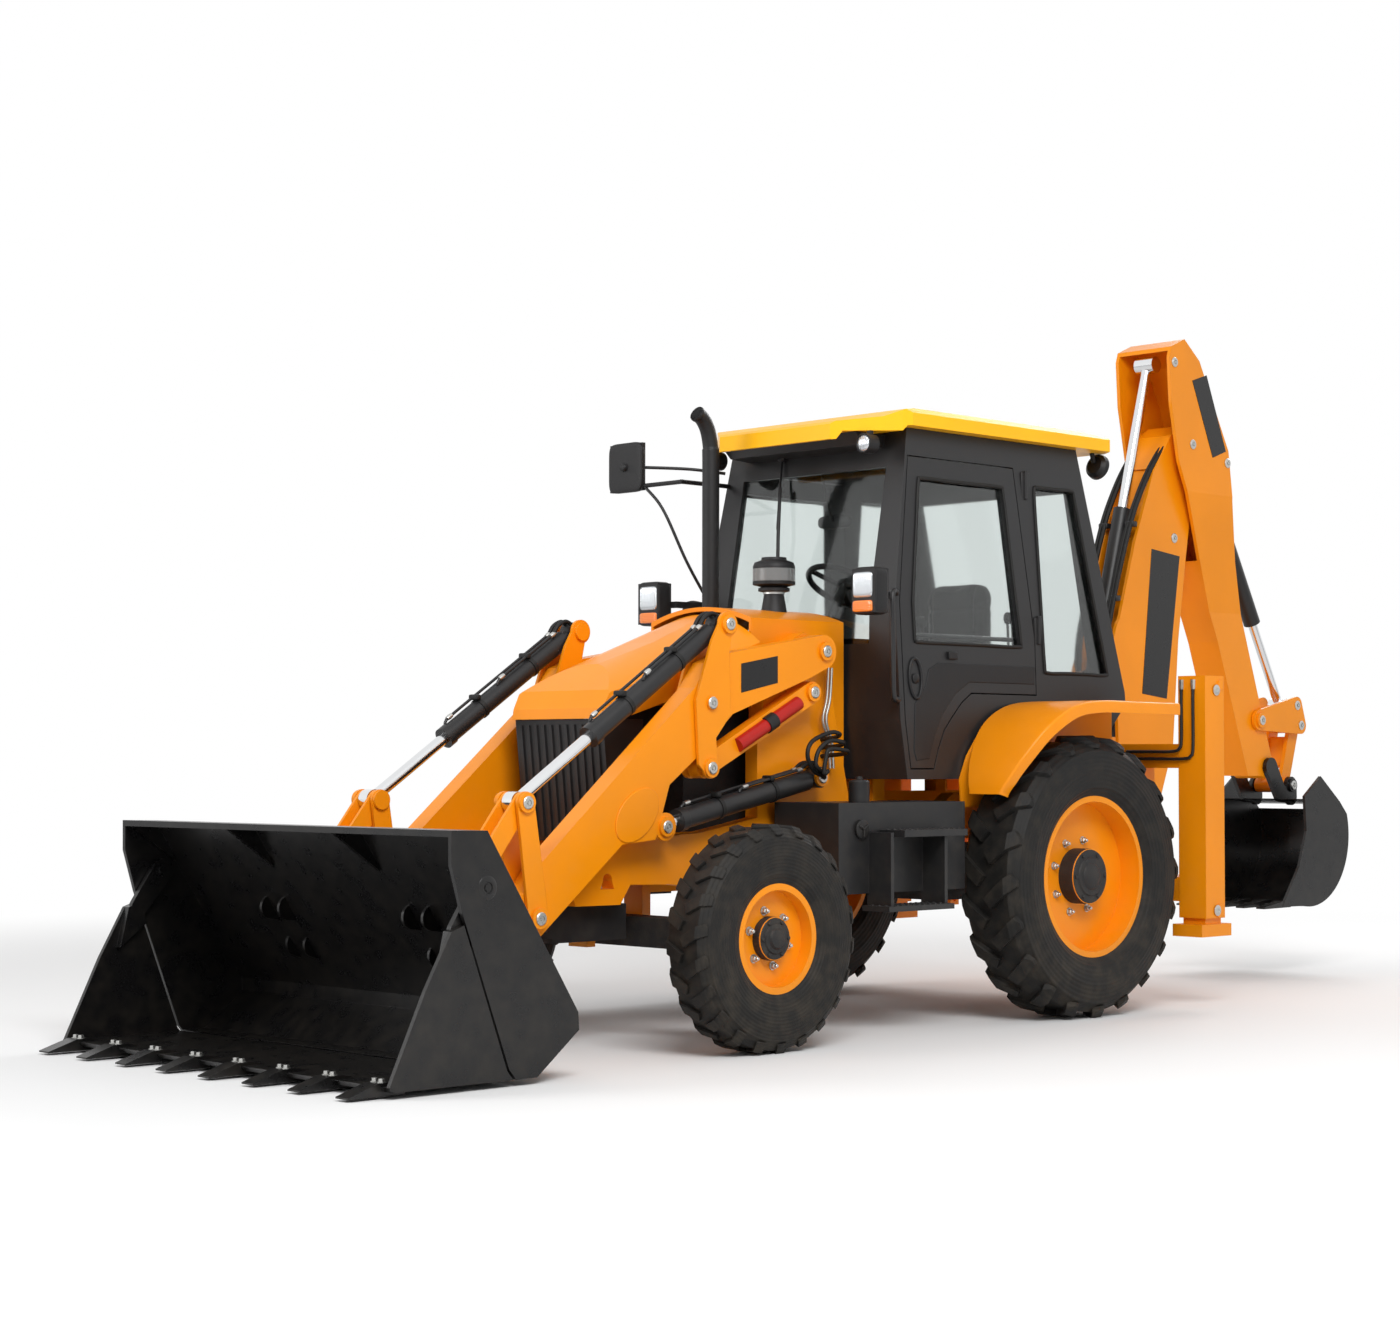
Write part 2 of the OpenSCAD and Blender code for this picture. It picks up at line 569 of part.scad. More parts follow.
module dipper_tube() color(dark) place() difference() {
  union() {
    cross_pin(H_DIP, 45, -57, 57);
    bar(H_DIP, H_DIP_END, 0, 48, 30, 966);
  }
  cross_pin(H_DIP, pin_r + fit, -200, 200);
  bar(H_DIP, H_DIP_END, 0, 28 + fit, 100, 970);
}
module dipper_rod() color(steel) place() {
  bar(H_DIP, H_DIP_END, 0, 28, 860, span(H_DIP, H_DIP_END) - 20);
  cross_pin(H_DIP_END, 45, -60, 60);
}
dipper_outline = [[-1790, 3431], [-1809, 3488], [-1931, 3540], [-2071, 3433], [-2192, 3222],
  [-2345, 2954], [-2385, 2675], [-2470, 2341], [-2737, 1612], [-2880, 1230], [-2895, 1170], [-2860, 1130],
  [-2640, 1130], [-2350, 1885], [-2095, 2404], [-1875, 2861], [-1805, 3185]];
// Half widths of the dipper at its fork and at its lower end
module dipper_front(d) rotate([90, 0, 90]) linear_extrude(8000, center = true) polygon([
  [-dipper_w / 2 + d, 3700], [-dipper_w / 2 + d, 2700], [-100 + d, 2050], [-100 + d, 1000],
  [100 - d, 1000], [100 - d, 2050], [dipper_w / 2 - d, 2700], [dipper_w / 2 - d, 3700]]);
module dipper() color(paint) place() {
  difference() {
    intersection() {
      plate(-dipper_w / 2, dipper_w) {
        polygon(dipper_outline);
        disc(H_BUCKET, 65);
        disc(H_LEVER, 60);
      }
      dipper_front(0);
    }
    intersection() {
      plate(-dipper_w / 2, dipper_w) polygon([[-1600, 2330], [-1600, 3440], [-1832, 3468], [-1925, 3514],
        [-2056, 3418], [-2172, 3213], [-2240, 3010], [-2245, 2850], [-2330, 2650], [-2440, 2341],
        [-2690, 1660], [-2700, 1560], [-2560, 1500], [-2376, 1885], [-2180, 2330]]);
      dipper_front(boom_t);
    }
    plate(-60, 120) {
      disc(H_CROWD, 54);
      polygon([[-2277, 2852], [-2483, 2490], [-2700, 2490], [-2600, 3050], [-2383, 2925]]);
    }
    cross_pin(H_BUCKET, pin_r + fit, -200, 200);
  }
  cross_pin(H_CROWD, pin_r, -80, 80);
  cross_pin(H_ELBOW, 35, -dipper_w / 2, dipper_w / 2);
  both_sides() cross_pin(H_ELBOW, 70, boom_w / 2 + face, dipper_w / 2);
  both_sides() cross_pin(H_LEVER, pin_r, 90, 140);
  both_sides() cross_pin(H_LEVER, pin_r + 12, 125 + face, 140);
}
module crowd_tube() color(dark) place() difference() {
  union() {
    cross_pin(H_CROWD, 45, -55, 55);
    bar(H_CROWD, H_CROWD_END, 0, 48, 30, 1010);
  }
  cross_pin(H_CROWD, pin_r + fit, -200, 200);
  bar(H_CROWD, H_CROWD_END, 0, 26 + fit, 480, 1020);
}
module crowd_rod() color(steel) place() {
  bar(H_CROWD, H_CROWD_END, 0, 26, 920, span(H_CROWD, H_CROWD_END) - 20);
  cross_pin(H_CROWD_END, 42, -50, 50);
}
module hoe_levers() color(paint) place() {
  both_sides() difference() {
    plate(105, 20) {
      strap(H_LEVER, 58, H_CROWD_END, 50);
      strap(H_LEVER, 58, H_LINK, 50);
      strap(H_CROWD_END, 50, H_LINK, 50);
    }
    cross_pin(H_LEVER, pin_r + fit, 90, 140);
  }
  cross_pin(H_LINK, pin_r, -125, 125);
}
module hoe_link() color(paint) place() difference() {
  union() {
    both_sides() plate(55, 25) strap(H_LINK, 45, H_BUCKET_LINK, 42);
    plate(-60, 120) strap(along(H_LINK, H_BUCKET_LINK, 90), 20, along(H_LINK, H_BUCKET_LINK, 240), 20);
    cross_pin(H_LINK, 45, -100, 100);
    cross_pin(H_BUCKET_LINK, 42, -100, 100);
  }
  cross_pin(H_LINK, pin_r + fit, -200, 200);
}
// Side view of the backhoe bucket; its back is an arc about hoe_back_c
hoe_side = [[-2909, 1014], [-2992, 1071], [-3076, 1128], [-3274, 981], [-3348, 909],
  hoe_back_c, [-2890, 390], [-2676, 392], [-2851, 617], [-2926, 814]];
module hoe_profile(d) {
  polygon(hoe_side);
  intersection() {
    disc(hoe_back_c, hoe_back_r - d);
    polygon([[-3348, 909], hoe_back_c, [-2890, 390], [-2890, 200], [-3600, 200], [-3600, 986]]);
  }
}
module hoe_bucket() color(black) place() {
  difference() {
    plate(-hoe_w / 2, hoe_w) hoe_profile(0);
    plate(-hoe_w / 2 + hoe_t, hoe_w - 2 * hoe_t) {
      difference() {
        disc(hoe_back_c, hoe_back_r - hoe_t);
        polygon([[-3500, 945], [-2850, 1000], [-2850, 1300], [-3500, 1300]]);
      }
      polygon([[-2960, 406], [-2300, 406], [-2300, 980], [-2850, 980], [-2960, 900]]);
      polygon([[-2700, 1016], [-2995, 992], [-3300, 962], [-3300, 1300], [-2700, 1300]]);
    }
  }
  both_sides() plate(105, 25) {
    strap(H_BUCKET, 55, [-2930, 1030], 50);
    strap(H_BUCKET_LINK, 50, [-3040, 1010], 50);
    strap([-2930, 1030], 50, [-3040, 1010], 40);
  }
  cross_pin(H_BUCKET, pin_r, -130, 130);
  both_sides() cross_pin(H_BUCKET_LINK, 38, 105, 142);
  for (y = [-270, -135, 0, 135, 270]) plate(y - 28, 56) polygon([[-2760, 388], [-2500, 386], [-2500, 396], [-2700, 424], [-2780, 424]]);
}
module stabiliser(side) {
  translate([-936 + 14 + leg_gap, side * leg_y - leg_box / 2 + 14 + leg_gap, foot_z + 60])
    cube([leg_box - 28 - 2 * leg_gap, leg_box - 28 - 2 * leg_gap, 1100]);
  translate([-980, side * leg_y - 87, foot_z]) cube([250, 174, 60]);
}
module stabiliser_left() color(paint) place() stabiliser(1);
module stabiliser_right() color(paint) place() stabiliser(-1);

arm_outline = [[1342, 1784], [1979, 1680], [2080, 1640], [2160, 1530], [3021, 804], [3110, 690],
  [3385, 440], [3330, 400], [3200, 436], [3032, 500], [2581, 863], [2390, 880], [2310, 1112],
  [2144, 1231], [1931, 1418], [1442, 1585], [1310, 1640]];
module loader_arms() color(paint) place() {
  both_sides() {
    difference() {
      plate(arm_in, arm_w) {
        polygon(arm_outline);
        disc(P_ARM, hub_r);
        disc(P_BUCKET, hub_r - 10);
        disc(P_LIFT_END, 60);
      }
      plate(eye_y0 - link_gap, eye_w + 2 * link_gap) polygon([[2190, 780], [2190, 1090], [2300, 1090],
        [2480, 1000], [2480, 780]]);
      for (p = [P_ARM, P_LEVER]) cross_pin(p, pin_r + fit, arm_in - 20, arm_out + 20);
    }
    capped_pin(P_TIP, face);
    capped_pin(P_BUCKET, face);
    cross_pin(P_LIFT_END, 42, arm_out - 1, arm_out + 12);
  }
  cross_pin([2905, 690], 50, -arm_in - 1, arm_in + 1);
}
module levers() color(paint) place() both_sides() {
  for (y = [lever_in, lever_out]) plate(y, link_t) {
    polygon([[2003, 1859], [1941, 1827], [1972, 1686], [1961, 1417], [2052, 1313], [2040, 1196],
      [2107, 1153], [2155, 1196], [2172, 1475], [2076, 1735]]);
    disc(P_TILT, 55);
    disc(P_LINK_END, 46);
  }
  capped_pin(P_TILT, -1);
  cross_pin(P_LEVER, pin_r, lever_in, lever_out + link_t + 10);
  cross_pin(P_LINK_END, pin_r + 12, lever_out, lever_out + link_t + 10);
}
module level_links() color(paint) place() both_sides() {
  difference() {
    plate(eye_y0, eye_w) strap(P_LINK, 50, P_LINK_END, 45);
    cross_pin(P_LINK, pin_r + fit, arm_in - 20, arm_out + 20);
  }
}
module lift_tubes() color(dark) place() both_sides() difference() {
  union() {
    cross_pin(P_LIFT, 48, eye_y0, eye_y0 + eye_w);
    bar(P_LIFT, P_LIFT_END, arm_y, 29, 30, 80);
    bar(P_LIFT, P_LIFT_END, arm_y, lift_tube_r, 68, 890);
    bar(P_LIFT, P_LIFT_END, arm_y, lift_tube_r + 5, 850, 890);
  }
  cross_pin(P_LIFT, pin_r + fit, arm_in - 20, arm_out + 20);
  bar(P_LIFT, P_LIFT_END, arm_y, rod_r + fit, 110, 900);
}
module lift_rods() color(steel) place() both_sides() {
  bar(P_LIFT, P_LIFT_END, arm_y, rod_r, 150, span(P_LIFT, P_LIFT_END) - 20);
  cross_pin(P_LIFT_END, eye_r, eye_y0, eye_y0 + eye_w);
}
// A pin through both lever plates and what lies between them, with a cap over gap g at each end
module capped_pin(p, g) {
  cross_pin(p, pin_r, lever_in - 14, lever_out + link_t + 14);
  cross_pin(p, pin_r + 12, lever_out + link_t + g, lever_out + link_t + 14);
  cross_pin(p, pin_r + 12, lever_in - 14, lever_in - g);
}
module tilt_tubes() color(dark) place() both_sides() difference() {
  union() {
    cross_pin(P_TILT, eye_r, eye_y0, eye_y0 + eye_w);
    bar(P_TILT, P_ROD_END, arm_y, 29, 30, 80);
    bar(P_TILT, P_ROD_END, arm_y, tilt_tube_r, 68, 900);
    bar(P_TILT, P_ROD_END, arm_y, tilt_tube_r + 5, 860, 900);
  }
  cross_pin(P_TILT, pin_r + fit, arm_in - 20, arm_out + 20);
  bar(P_TILT, P_ROD_END, arm_y, rod_r + fit, 110, 970);
}
module tilt_rods() color(steel) place() both_sides() {
  bar(P_TILT, P_ROD_END, arm_y, rod_r, 320, span(P_TILT, P_ROD_END) - 20);
  cross_pin(P_ROD_END, eye_r, eye_y0, eye_y0 + eye_w);
}
module tipping_levers() color(paint) place() both_sides() {
  difference() {
    for (y = [lever_in, lever_out]) plate(y, link_t) strap(P_TIP, 52, P_ROD_END, 45);
    cross_pin(P_TIP, pin_r + fit, lever_in - 20, lever_out + 40);
  }
  for (y = [lever_in - 13, lever_out + link_t - 1]) cross_pin(P_ROD_END, 42, y, y + 14);
}
module tipping_links() color(paint) place() both_sides() difference() {
  for (y = [arm_in, arm_out - link_t]) plate(y, link_t) strap(P_ROD_END, 42, P_BUCKET_LINK, 45);
  cross_pin(P_BUCKET_LINK, pin_r + fit, arm_in - 20, arm_out + 20);
}
shell_outline = [[3963, 959], [3793, 956], [3343, 258], [3338, 190], [3548, 26], [3650, 26],
  [3685, 67], [3910, 655], [3962, 832]];
clam_pin_r = 26;
side_y = bucket_w / 2 - bucket_t;
module bucket() color(black) place() {
  difference() {
    union() {
      difference() {
        plate(-bucket_w / 2, bucket_w) polygon(shell_outline);
        plate(-side_y, 2 * side_y) polygon([[4100, 934], [3815, 934], [3366, 258], [3362, 200],
          [3556, 50], [4000, 50]]);
      }
      both_sides() for (y = [lever_in, lever_out]) plate(y, link_t) {
        strap(P_BUCKET, 60, [3470, 440], 50);
        strap(P_BUCKET_LINK, 50, [3600, 600], 50);
      }
      both_sides() cross_pin(P_CLAM, clam_pin_r, side_y - 40, side_y + 1);
      for (y = [-side_y, -370, 350, side_y - 20]) plate(y, 20) polygon([[3800, 938], [3948, 938], [3720, 780]]);
    }
    both_sides() cross_pin(P_BUCKET, pin_r + fit, lever_in - 20, lever_out + 40);
  }
  both_sides() capped_pin(P_BUCKET_LINK, -1);
}
clam_outline = [[3902, 610], [3694, 60], [3664, 26], [4220, 26], [4240, 45], [4079, 380],
  [3960, 590]];
module clam() color(black) place() {
  difference() {
    union() {
      difference() {
        plate(-bucket_w / 2, bucket_w) polygon(clam_outline);
        plate(-side_y, 2 * side_y) polygon([[3600, 46], [4400, 46], [4400, 800], [3600, 800]]);
      }
      both_sides() {
        plate(side_y - 30, 24) strap(P_CLAM, 50, [3905, 590], 40);
        plate(side_y - 30, bucket_t + 30) polygon([[3902, 610], [3870, 520], [4000, 420], [3960, 590]]);
      }
      for (i = [0 : tooth_count - 1]) {
        y = (i / (tooth_count - 1) - 0.5) * (bucket_w - 183);
        plate(y - tooth_w / 2, tooth_w) polygon([[4130, 10], [tooth_tip_x, 10], [tooth_tip_x, 16], [4250, 58], [4190, 58], [4130, 46]]);
      }
    }
    both_sides() cross_pin(P_CLAM, clam_pin_r + fit, side_y - 60, side_y + 60);
  }
}

main_frame();
front_weight();
engine();
front_axle();
rear_axle();
side_tanks();
grille();
rear_cowl();
stacks();
cab();
roof();
fenders();
seat();
controls();
lamps();
hoe_frame();
bonnet();
knuckle_left();
knuckle_right();
rim_front_left();
tyre_front_left();
rim_front_right();
tyre_front_right();
rim_rear_left();
tyre_rear_left();
rim_rear_right();
tyre_rear_right();
loader_arms();
levers();
level_links();
lift_tubes();
lift_rods();
tilt_tubes();
tilt_rods();
tipping_levers();
bucket();
clam();
tipping_links();
carriage();
kingpost();
boom();
boom_tube();
boom_rod();
dipper_tube();
dipper_rod();
dipper();
crowd_tube();
crowd_rod();
hoe_levers();
hoe_link();
hoe_bucket();
stabiliser_left();
stabiliser_right();
door_left();
door_right();
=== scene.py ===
"""Backhoe loader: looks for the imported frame, from its finishes to its hoses, glass and trim."""
import json
import math

import bmesh
import bpy
import numpy as np
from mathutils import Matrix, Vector


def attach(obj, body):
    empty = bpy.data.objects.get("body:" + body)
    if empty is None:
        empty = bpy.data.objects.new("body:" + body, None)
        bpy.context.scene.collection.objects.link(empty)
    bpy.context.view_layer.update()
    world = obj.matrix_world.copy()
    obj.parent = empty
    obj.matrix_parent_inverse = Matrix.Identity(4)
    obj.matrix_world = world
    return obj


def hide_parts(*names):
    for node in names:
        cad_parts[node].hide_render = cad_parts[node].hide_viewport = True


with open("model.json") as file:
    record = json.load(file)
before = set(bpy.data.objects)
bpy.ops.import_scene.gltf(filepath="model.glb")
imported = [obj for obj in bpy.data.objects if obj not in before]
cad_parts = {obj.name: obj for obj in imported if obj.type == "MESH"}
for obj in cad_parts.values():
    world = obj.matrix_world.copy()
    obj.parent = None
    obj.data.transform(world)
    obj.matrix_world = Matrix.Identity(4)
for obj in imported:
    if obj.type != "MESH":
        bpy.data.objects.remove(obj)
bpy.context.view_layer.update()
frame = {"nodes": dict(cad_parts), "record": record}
nodes = frame["nodes"]
scene = bpy.context.scene
both_sides = (("left", 1), ("right", -1))

# Driving sizes in millimetres, from the rear axle's centre line on the ground. The frame's origin
# lies origin_x ahead of that line.
origin_x = 508.5
wheelbase = 2170
front_axle_z, rear_axle_z = 476, 668


def metres(points):
    """Millimetres from the rear axle's centre line on the ground, turned into the frame's metres."""
    return (np.asarray(points, float) - (origin_x, 0, 0)) / 1000


# Shader nodes. These helpers build the nodes of every finish and of the studio round the machine.


def feed(tree, socket, value):
    """Links an input socket to another node's output, or sets it to a plain value."""
    if isinstance(value, bpy.types.NodeSocket):
        tree.links.new(value, socket)
    else:
        socket.default_value = value


def add(tree, kind, **values):
    """A node of the given kind, with its settings and its named input sockets filled in."""
    node = tree.nodes.new(kind)
    for key, value in values.items():
        if key in node.inputs:
            feed(tree, node.inputs[key], value)
        else:
            setattr(node, key, value)
    return node


def spread(tree, value, lowest, highest, to_lowest=0.0, to_highest=1.0, **values):
    """A socket that runs from to_lowest to to_highest while the given one runs from lowest to highest."""
    node = add(tree, "ShaderNodeMapRange", Value=value, **values)
    for key, limit in (("From Min", lowest), ("From Max", highest),
                       ("To Min", to_lowest), ("To Max", to_highest)):
        node.inputs[key].default_value = limit
    return node.outputs[0]


def reckon(tree, operation, *inputs):
    """The result of a math node, each of its inputs a number or another node's output."""
    node = add(tree, "ShaderNodeMath", operation=operation)
    for socket, value in zip(node.inputs, inputs):
        feed(tree, socket, value)
    return node.outputs[0]


def mixed_colour(tree, factor, first, second, **values):
    """A mix of two colours, the second one laid over the first as far as the factor says."""
    node = add(tree, "ShaderNodeMix", data_type="RGBA", **values)
    for index, value in ((0, factor), (6, first), (7, second)):
        feed(tree, node.inputs[index], value)
    return node.outputs[2]


def mixed_shader(tree, factor, first, second):
    """A mix of two shaders, the second one showing as far as the factor says."""
    node = tree.nodes.new("ShaderNodeMixShader")
    for socket, value in zip(node.inputs, (factor, first, second)):
        feed(tree, socket, value)
    return node.outputs[0]


def object_place(tree):
    """The place on the object, in its own metres, as a socket."""
    return add(tree, "ShaderNodeTexCoord").outputs["Object"]


def plain_finish(name, base, metallic=0.0, roughness=0.5, coat=0.0, shine=0.5):
    """A material with one Principled shader, its plain numbers set on the shader's own sockets."""
    material = bpy.data.materials.new(name)
    material.use_nodes = True
    shader = material.node_tree.nodes["Principled BSDF"]
    shader.inputs["Base Color"].default_value = (*base, 1)
    shader.inputs["Metallic"].default_value = metallic
    shader.inputs["Roughness"].default_value = roughness
    shader.inputs["Coat Weight"].default_value = coat
    shader.inputs["Specular IOR Level"].default_value = shine
    return material, material.node_tree, shader


# Camera. It stands to the left of the machine's nose at eye height. Its place and its focal length,
# in pixels of the photo, were solved from the photo.
photo_width, focal_length = 1400, 2611.5
pitch, roll, heading = 1.95, -0.06, 225.857
camera_data = bpy.data.cameras.new("camera")
camera = bpy.data.objects.new("camera", camera_data)
scene.collection.objects.link(camera)
camera_data.sensor_width = 36.0
camera_data.lens = focal_length / photo_width * camera_data.sensor_width
camera.location = metres((9969, 8609, 1218))
camera.rotation_euler = (math.pi / 2 + math.radians(pitch), math.radians(roll),
                         math.radians(heading) - math.pi / 2)
scene.camera = camera
scene.view_settings.view_transform = "Standard"

# Floor. It is pale grey under the machine and fades to pure white further out, for the camera only,
# so that no horizon shows.
floor_reach = 60.0
fade_start, fade_end = 4.5, 10.0
floor_mesh = bpy.data.meshes.new("floor")
floor_corners = np.array([[-1, -1, 0], [1, -1, 0], [1, 1, 0], [-1, 1, 0]]) * floor_reach
floor_mesh.from_pydata(floor_corners.tolist(), [], [[0, 1, 2, 3]])
floor = bpy.data.objects.new("floor", floor_mesh)
scene.collection.objects.link(floor)
floor_finish, tree, shader = plain_finish("floor_finish", (0.86, 0.86, 0.86), 0.0, 0.8, 0.0, 0.1)
floor.data.materials.append(floor_finish)
distance = add(tree, "ShaderNodeVectorMath", operation="LENGTH")
feed(tree, distance.inputs[0], object_place(tree))
fade = spread(tree, distance.outputs["Value"], fade_start, fade_end, interpolation_type="SMOOTHSTEP")
faded = mixed_shader(tree, fade, shader.outputs[0], add(tree, "ShaderNodeEmission").outputs[0])
camera_ray = add(tree, "ShaderNodeLightPath").outputs["Is Camera Ray"]
shown = mixed_shader(tree, camera_ray, shader.outputs[0], faded)
feed(tree, tree.nodes["Material Output"].inputs["Surface"], shown)

# Light. A pale studio: an even sky at half strength, seen as pure white by the camera, in shiny
# faces and through glass, with a large soft key, a rim light from behind and a light in front.
world = bpy.data.worlds.new("studio")
scene.world = world
world.use_nodes = True
tree = world.node_tree
sky = tree.nodes["Background"]
sky.inputs["Color"].default_value = (1, 1, 1, 1)
sky.inputs["Strength"].default_value = 0.5
backdrop = add(tree, "ShaderNodeBackground", Color=(1, 1, 1, 1))
rays = add(tree, "ShaderNodeLightPath").outputs
seen = reckon(tree, "MAXIMUM", rays["Is Camera Ray"], rays["Is Glossy Ray"])
seen = reckon(tree, "MAXIMUM", seen, rays["Is Transmission Ray"])
shown = mixed_shader(tree, seen, sky.outputs[0], backdrop.outputs[0])
feed(tree, tree.nodes["World Output"].inputs["Surface"], shown)

for name, place, aim, size, watts in (
        ("key", (6.0, 8.0, 8.5), (0.6, 0, 1.0), (6, 4), 950),
        ("rim", (-9.0, -2.0, 7.0), (0, 0, 1.5), (5, 4), 420),
        ("front", (12.0, -5.0, 5.0), (2, 0, 1.0), (5, 4), 420)):
    light = bpy.data.lights.new(name, "AREA")
    light.shape = "RECTANGLE"
    light.size, light.size_y = size
    light.energy = watts
    lamp = bpy.data.objects.new(name, light)
    lamp.location = place
    lamp.rotation_euler = (Vector(aim) - Vector(place)).to_track_quat("-Z", "Y").to_euler()
    scene.collection.objects.link(lamp)

# Painted, cast and moulded finishes. Each is sprayed or moulded stock seen after some days of work:
# a little orange peel, slow changes of shade, and dust that settles low down and in patches.
weather = bpy.data.node_groups.new("weather", "ShaderNodeTree")
for socket, kind, way in (
        ("Clean", "NodeSocketColor", "INPUT"), ("Dust", "NodeSocketColor", "INPUT"),
        ("Gloss", "NodeSocketFloat", "INPUT"), ("Dustiness", "NodeSocketFloat", "INPUT"),
        ("Grain", "NodeSocketFloat", "INPUT"), ("Color", "NodeSocketColor", "OUTPUT"),
        ("Roughness", "NodeSocketFloat", "OUTPUT"), ("Height", "NodeSocketFloat", "OUTPUT")):
    weather.interface.new_socket(name=socket, in_out=way, socket_type=kind)
given = weather.nodes.new("NodeGroupInput").outputs
result = weather.nodes.new("NodeGroupOutput").inputs
where = object_place(weather)
patches = add(weather, "ShaderNodeTexNoise", Vector=where, Scale=1.7, Detail=5.0).outputs["Fac"]
grime = add(weather, "ShaderNodeTexNoise", Vector=where, Scale=14.0, Detail=6.0).outputs["Fac"]
peel = add(weather, "ShaderNodeTexNoise", Vector=where, Scale=given["Grain"], Detail=2.0).outputs["Fac"]
height = add(weather, "ShaderNodeSeparateXYZ", Vector=where).outputs["Z"]
low_down = spread(weather, height, 0.0, 1.5, 1.0, 0.12)
spots = spread(weather, grime, 0.42, 0.72, 0.15, 1.0)
dusty = reckon(weather, "MULTIPLY", low_down, spots)
amount = reckon(weather, "MULTIPLY", dusty, given["Dustiness"])
shade = spread(weather, patches, 0.3, 0.7, 0.93, 1.05)
tinted = mixed_colour(weather, 1.0, given["Clean"], shade, blend_type="MULTIPLY")
dull = reckon(weather, "MULTIPLY_ADD", amount, 0.6, given["Gloss"])
feed(weather, result["Color"], mixed_colour(weather, amount, tinted, given["Dust"]))
feed(weather, result["Roughness"], reckon(weather, "MULTIPLY_ADD", grime, 0.08, dull))
feed(weather, result["Height"], peel)

dust_colour = (0.30, 0.24, 0.17, 1)


def worked_finish(name, base, metallic=0.0, gloss=0.35, shine=0.3, dust=0.1, grain=420.0, bump=0.04,
                  edge=0.003):
    """A finish through the weather group: its edges are eased by a few millimetres to catch light."""
    material, tree, shader = plain_finish(name, base, metallic, gloss, 0.0, shine)
    used = add(tree, "ShaderNodeGroup", node_tree=weather)
    for key, value in (("Clean", (*base, 1)), ("Dust", dust_colour), ("Gloss", gloss),
                       ("Dustiness", dust), ("Grain", grain)):
        used.inputs[key].default_value = value
    raised = add(tree, "ShaderNodeBump", Strength=bump, Distance=0.01, Height=used.outputs["Height"])
    if edge:
        eased = add(tree, "ShaderNodeBevel", samples=3, Radius=edge)
        feed(tree, raised.inputs["Normal"], eased.outputs["Normal"])
    feed(tree, shader.inputs["Base Color"], used.outputs["Color"])
    feed(tree, shader.inputs["Roughness"], used.outputs["Roughness"])
    feed(tree, shader.inputs["Normal"], raised.outputs["Normal"])
    return material, tree, shader


yellow = worked_finish("machine_yellow", (0.90, 0.285, 0.002), 0.0, 0.27, 0.3, 0.06)[0]
# The roof's finish is the body's yellow made lighter and yellower: painted light from above, standing in for
# the key light on the roof's upward face.
roof_yellow = worked_finish("roof_yellow", (1.0, 0.50, 0.003), 0.0, 0.26, 0.3, 0.05)[0]
grey = worked_finish("frame_grey", (0.016, 0.016, 0.017), 0.0, 0.34, 0.35, 0.07)[0]
black = worked_finish("bucket_black", (0.004, 0.004, 0.0045), 0.0, 0.24, 0.4, 0.04)[0]
rod = worked_finish("rod_steel", (0.78, 0.79, 0.8), 1.0, 0.12, 0.5, 0.03, 60.0, 0.01, 0.0)[0]
plastic = worked_finish("cab_plastic", (0.010, 0.010, 0.011), 0.0, 0.42, 0.3, 0.08, 900.0, 0.12)[0]
cast = worked_finish("cast_grey", (0.016, 0.016, 0.017), 0.0, 0.5, 0.3, 0.12, 160.0, 0.25)[0]
zinc = worked_finish("zinc_steel", (0.55, 0.55, 0.53), 1.0, 0.3, 0.5, 0.08, 200.0, 0.05, 0.0)[0]
hose_rubber = worked_finish("hose_rubber", (0.007, 0.007, 0.007), 0.0, 0.5, 0.3, 0.08, 700.0, 0.08, 0.0)[0]
strut_red = worked_finish("strut_red", (0.42, 0.012, 0.008), 0.0, 0.3, 0.3, 0.08, 420.0, 0.04, 0.0)[0]


def tyre_finish(name, axle, ribs):
    """Rubber whose side walls carry fine rings: the height is a sine of the distance from the axle."""
    base = (0.006, 0.006, 0.006)
    material, tree, shader = worked_finish(name, base, 0.0, 0.55, 0.25, 0.12, 260.0, 0.15, 0.004)
    x, _, z = metres(axle)
    moved = add(tree, "ShaderNodeMapping", Vector=object_place(tree), Location=(-x, 0, -z))
    flat = add(tree, "ShaderNodeVectorMath", operation="MULTIPLY")
    feed(tree, flat.inputs[0], moved.outputs["Vector"])
    feed(tree, flat.inputs[1], (1, 0, 1))
    away = add(tree, "ShaderNodeVectorMath", operation="LENGTH")
    feed(tree, away.inputs[0], flat.outputs["Vector"])
    wave = reckon(tree, "SINE", reckon(tree, "MULTIPLY", away.outputs["Value"], ribs))
    ringed = add(tree, "ShaderNodeBump", Strength=0.25, Distance=0.003, Height=wave)
    feed(tree, ringed.inputs["Normal"], shader.inputs["Normal"].links[0].from_socket)
    feed(tree, shader.inputs["Normal"], ringed.outputs["Normal"])
    return material


front_rubber = tyre_finish("front_tyre_rubber", (wheelbase, 0, front_axle_z), 420.0)
rear_rubber = tyre_finish("rear_tyre_rubber", (0, 0, rear_axle_z), 300.0)
finishes = {"machine_yellow": yellow, "roof_yellow": roof_yellow, "frame_grey": grey, "bucket_black": black,
            "rod_steel": rod, "tyre_rubber": front_rubber, "cab_plastic": plastic, "cast_grey": cast}
for part in frame["record"]["subparts"]:
    made = nodes[part["node"]]
    made.data.materials.clear()
    finish = rear_rubber if part["node"].startswith("tyre_rear") else finishes[part["material_slot"]]
    made.data.materials.append(finish)

# Wheel hubs and nuts. Each yellow wheel disc is bolted to a dark cast hub that stands out of it,
# closed by a stepped cap; the nuts are zinc plated and sit on a circle round the hub.


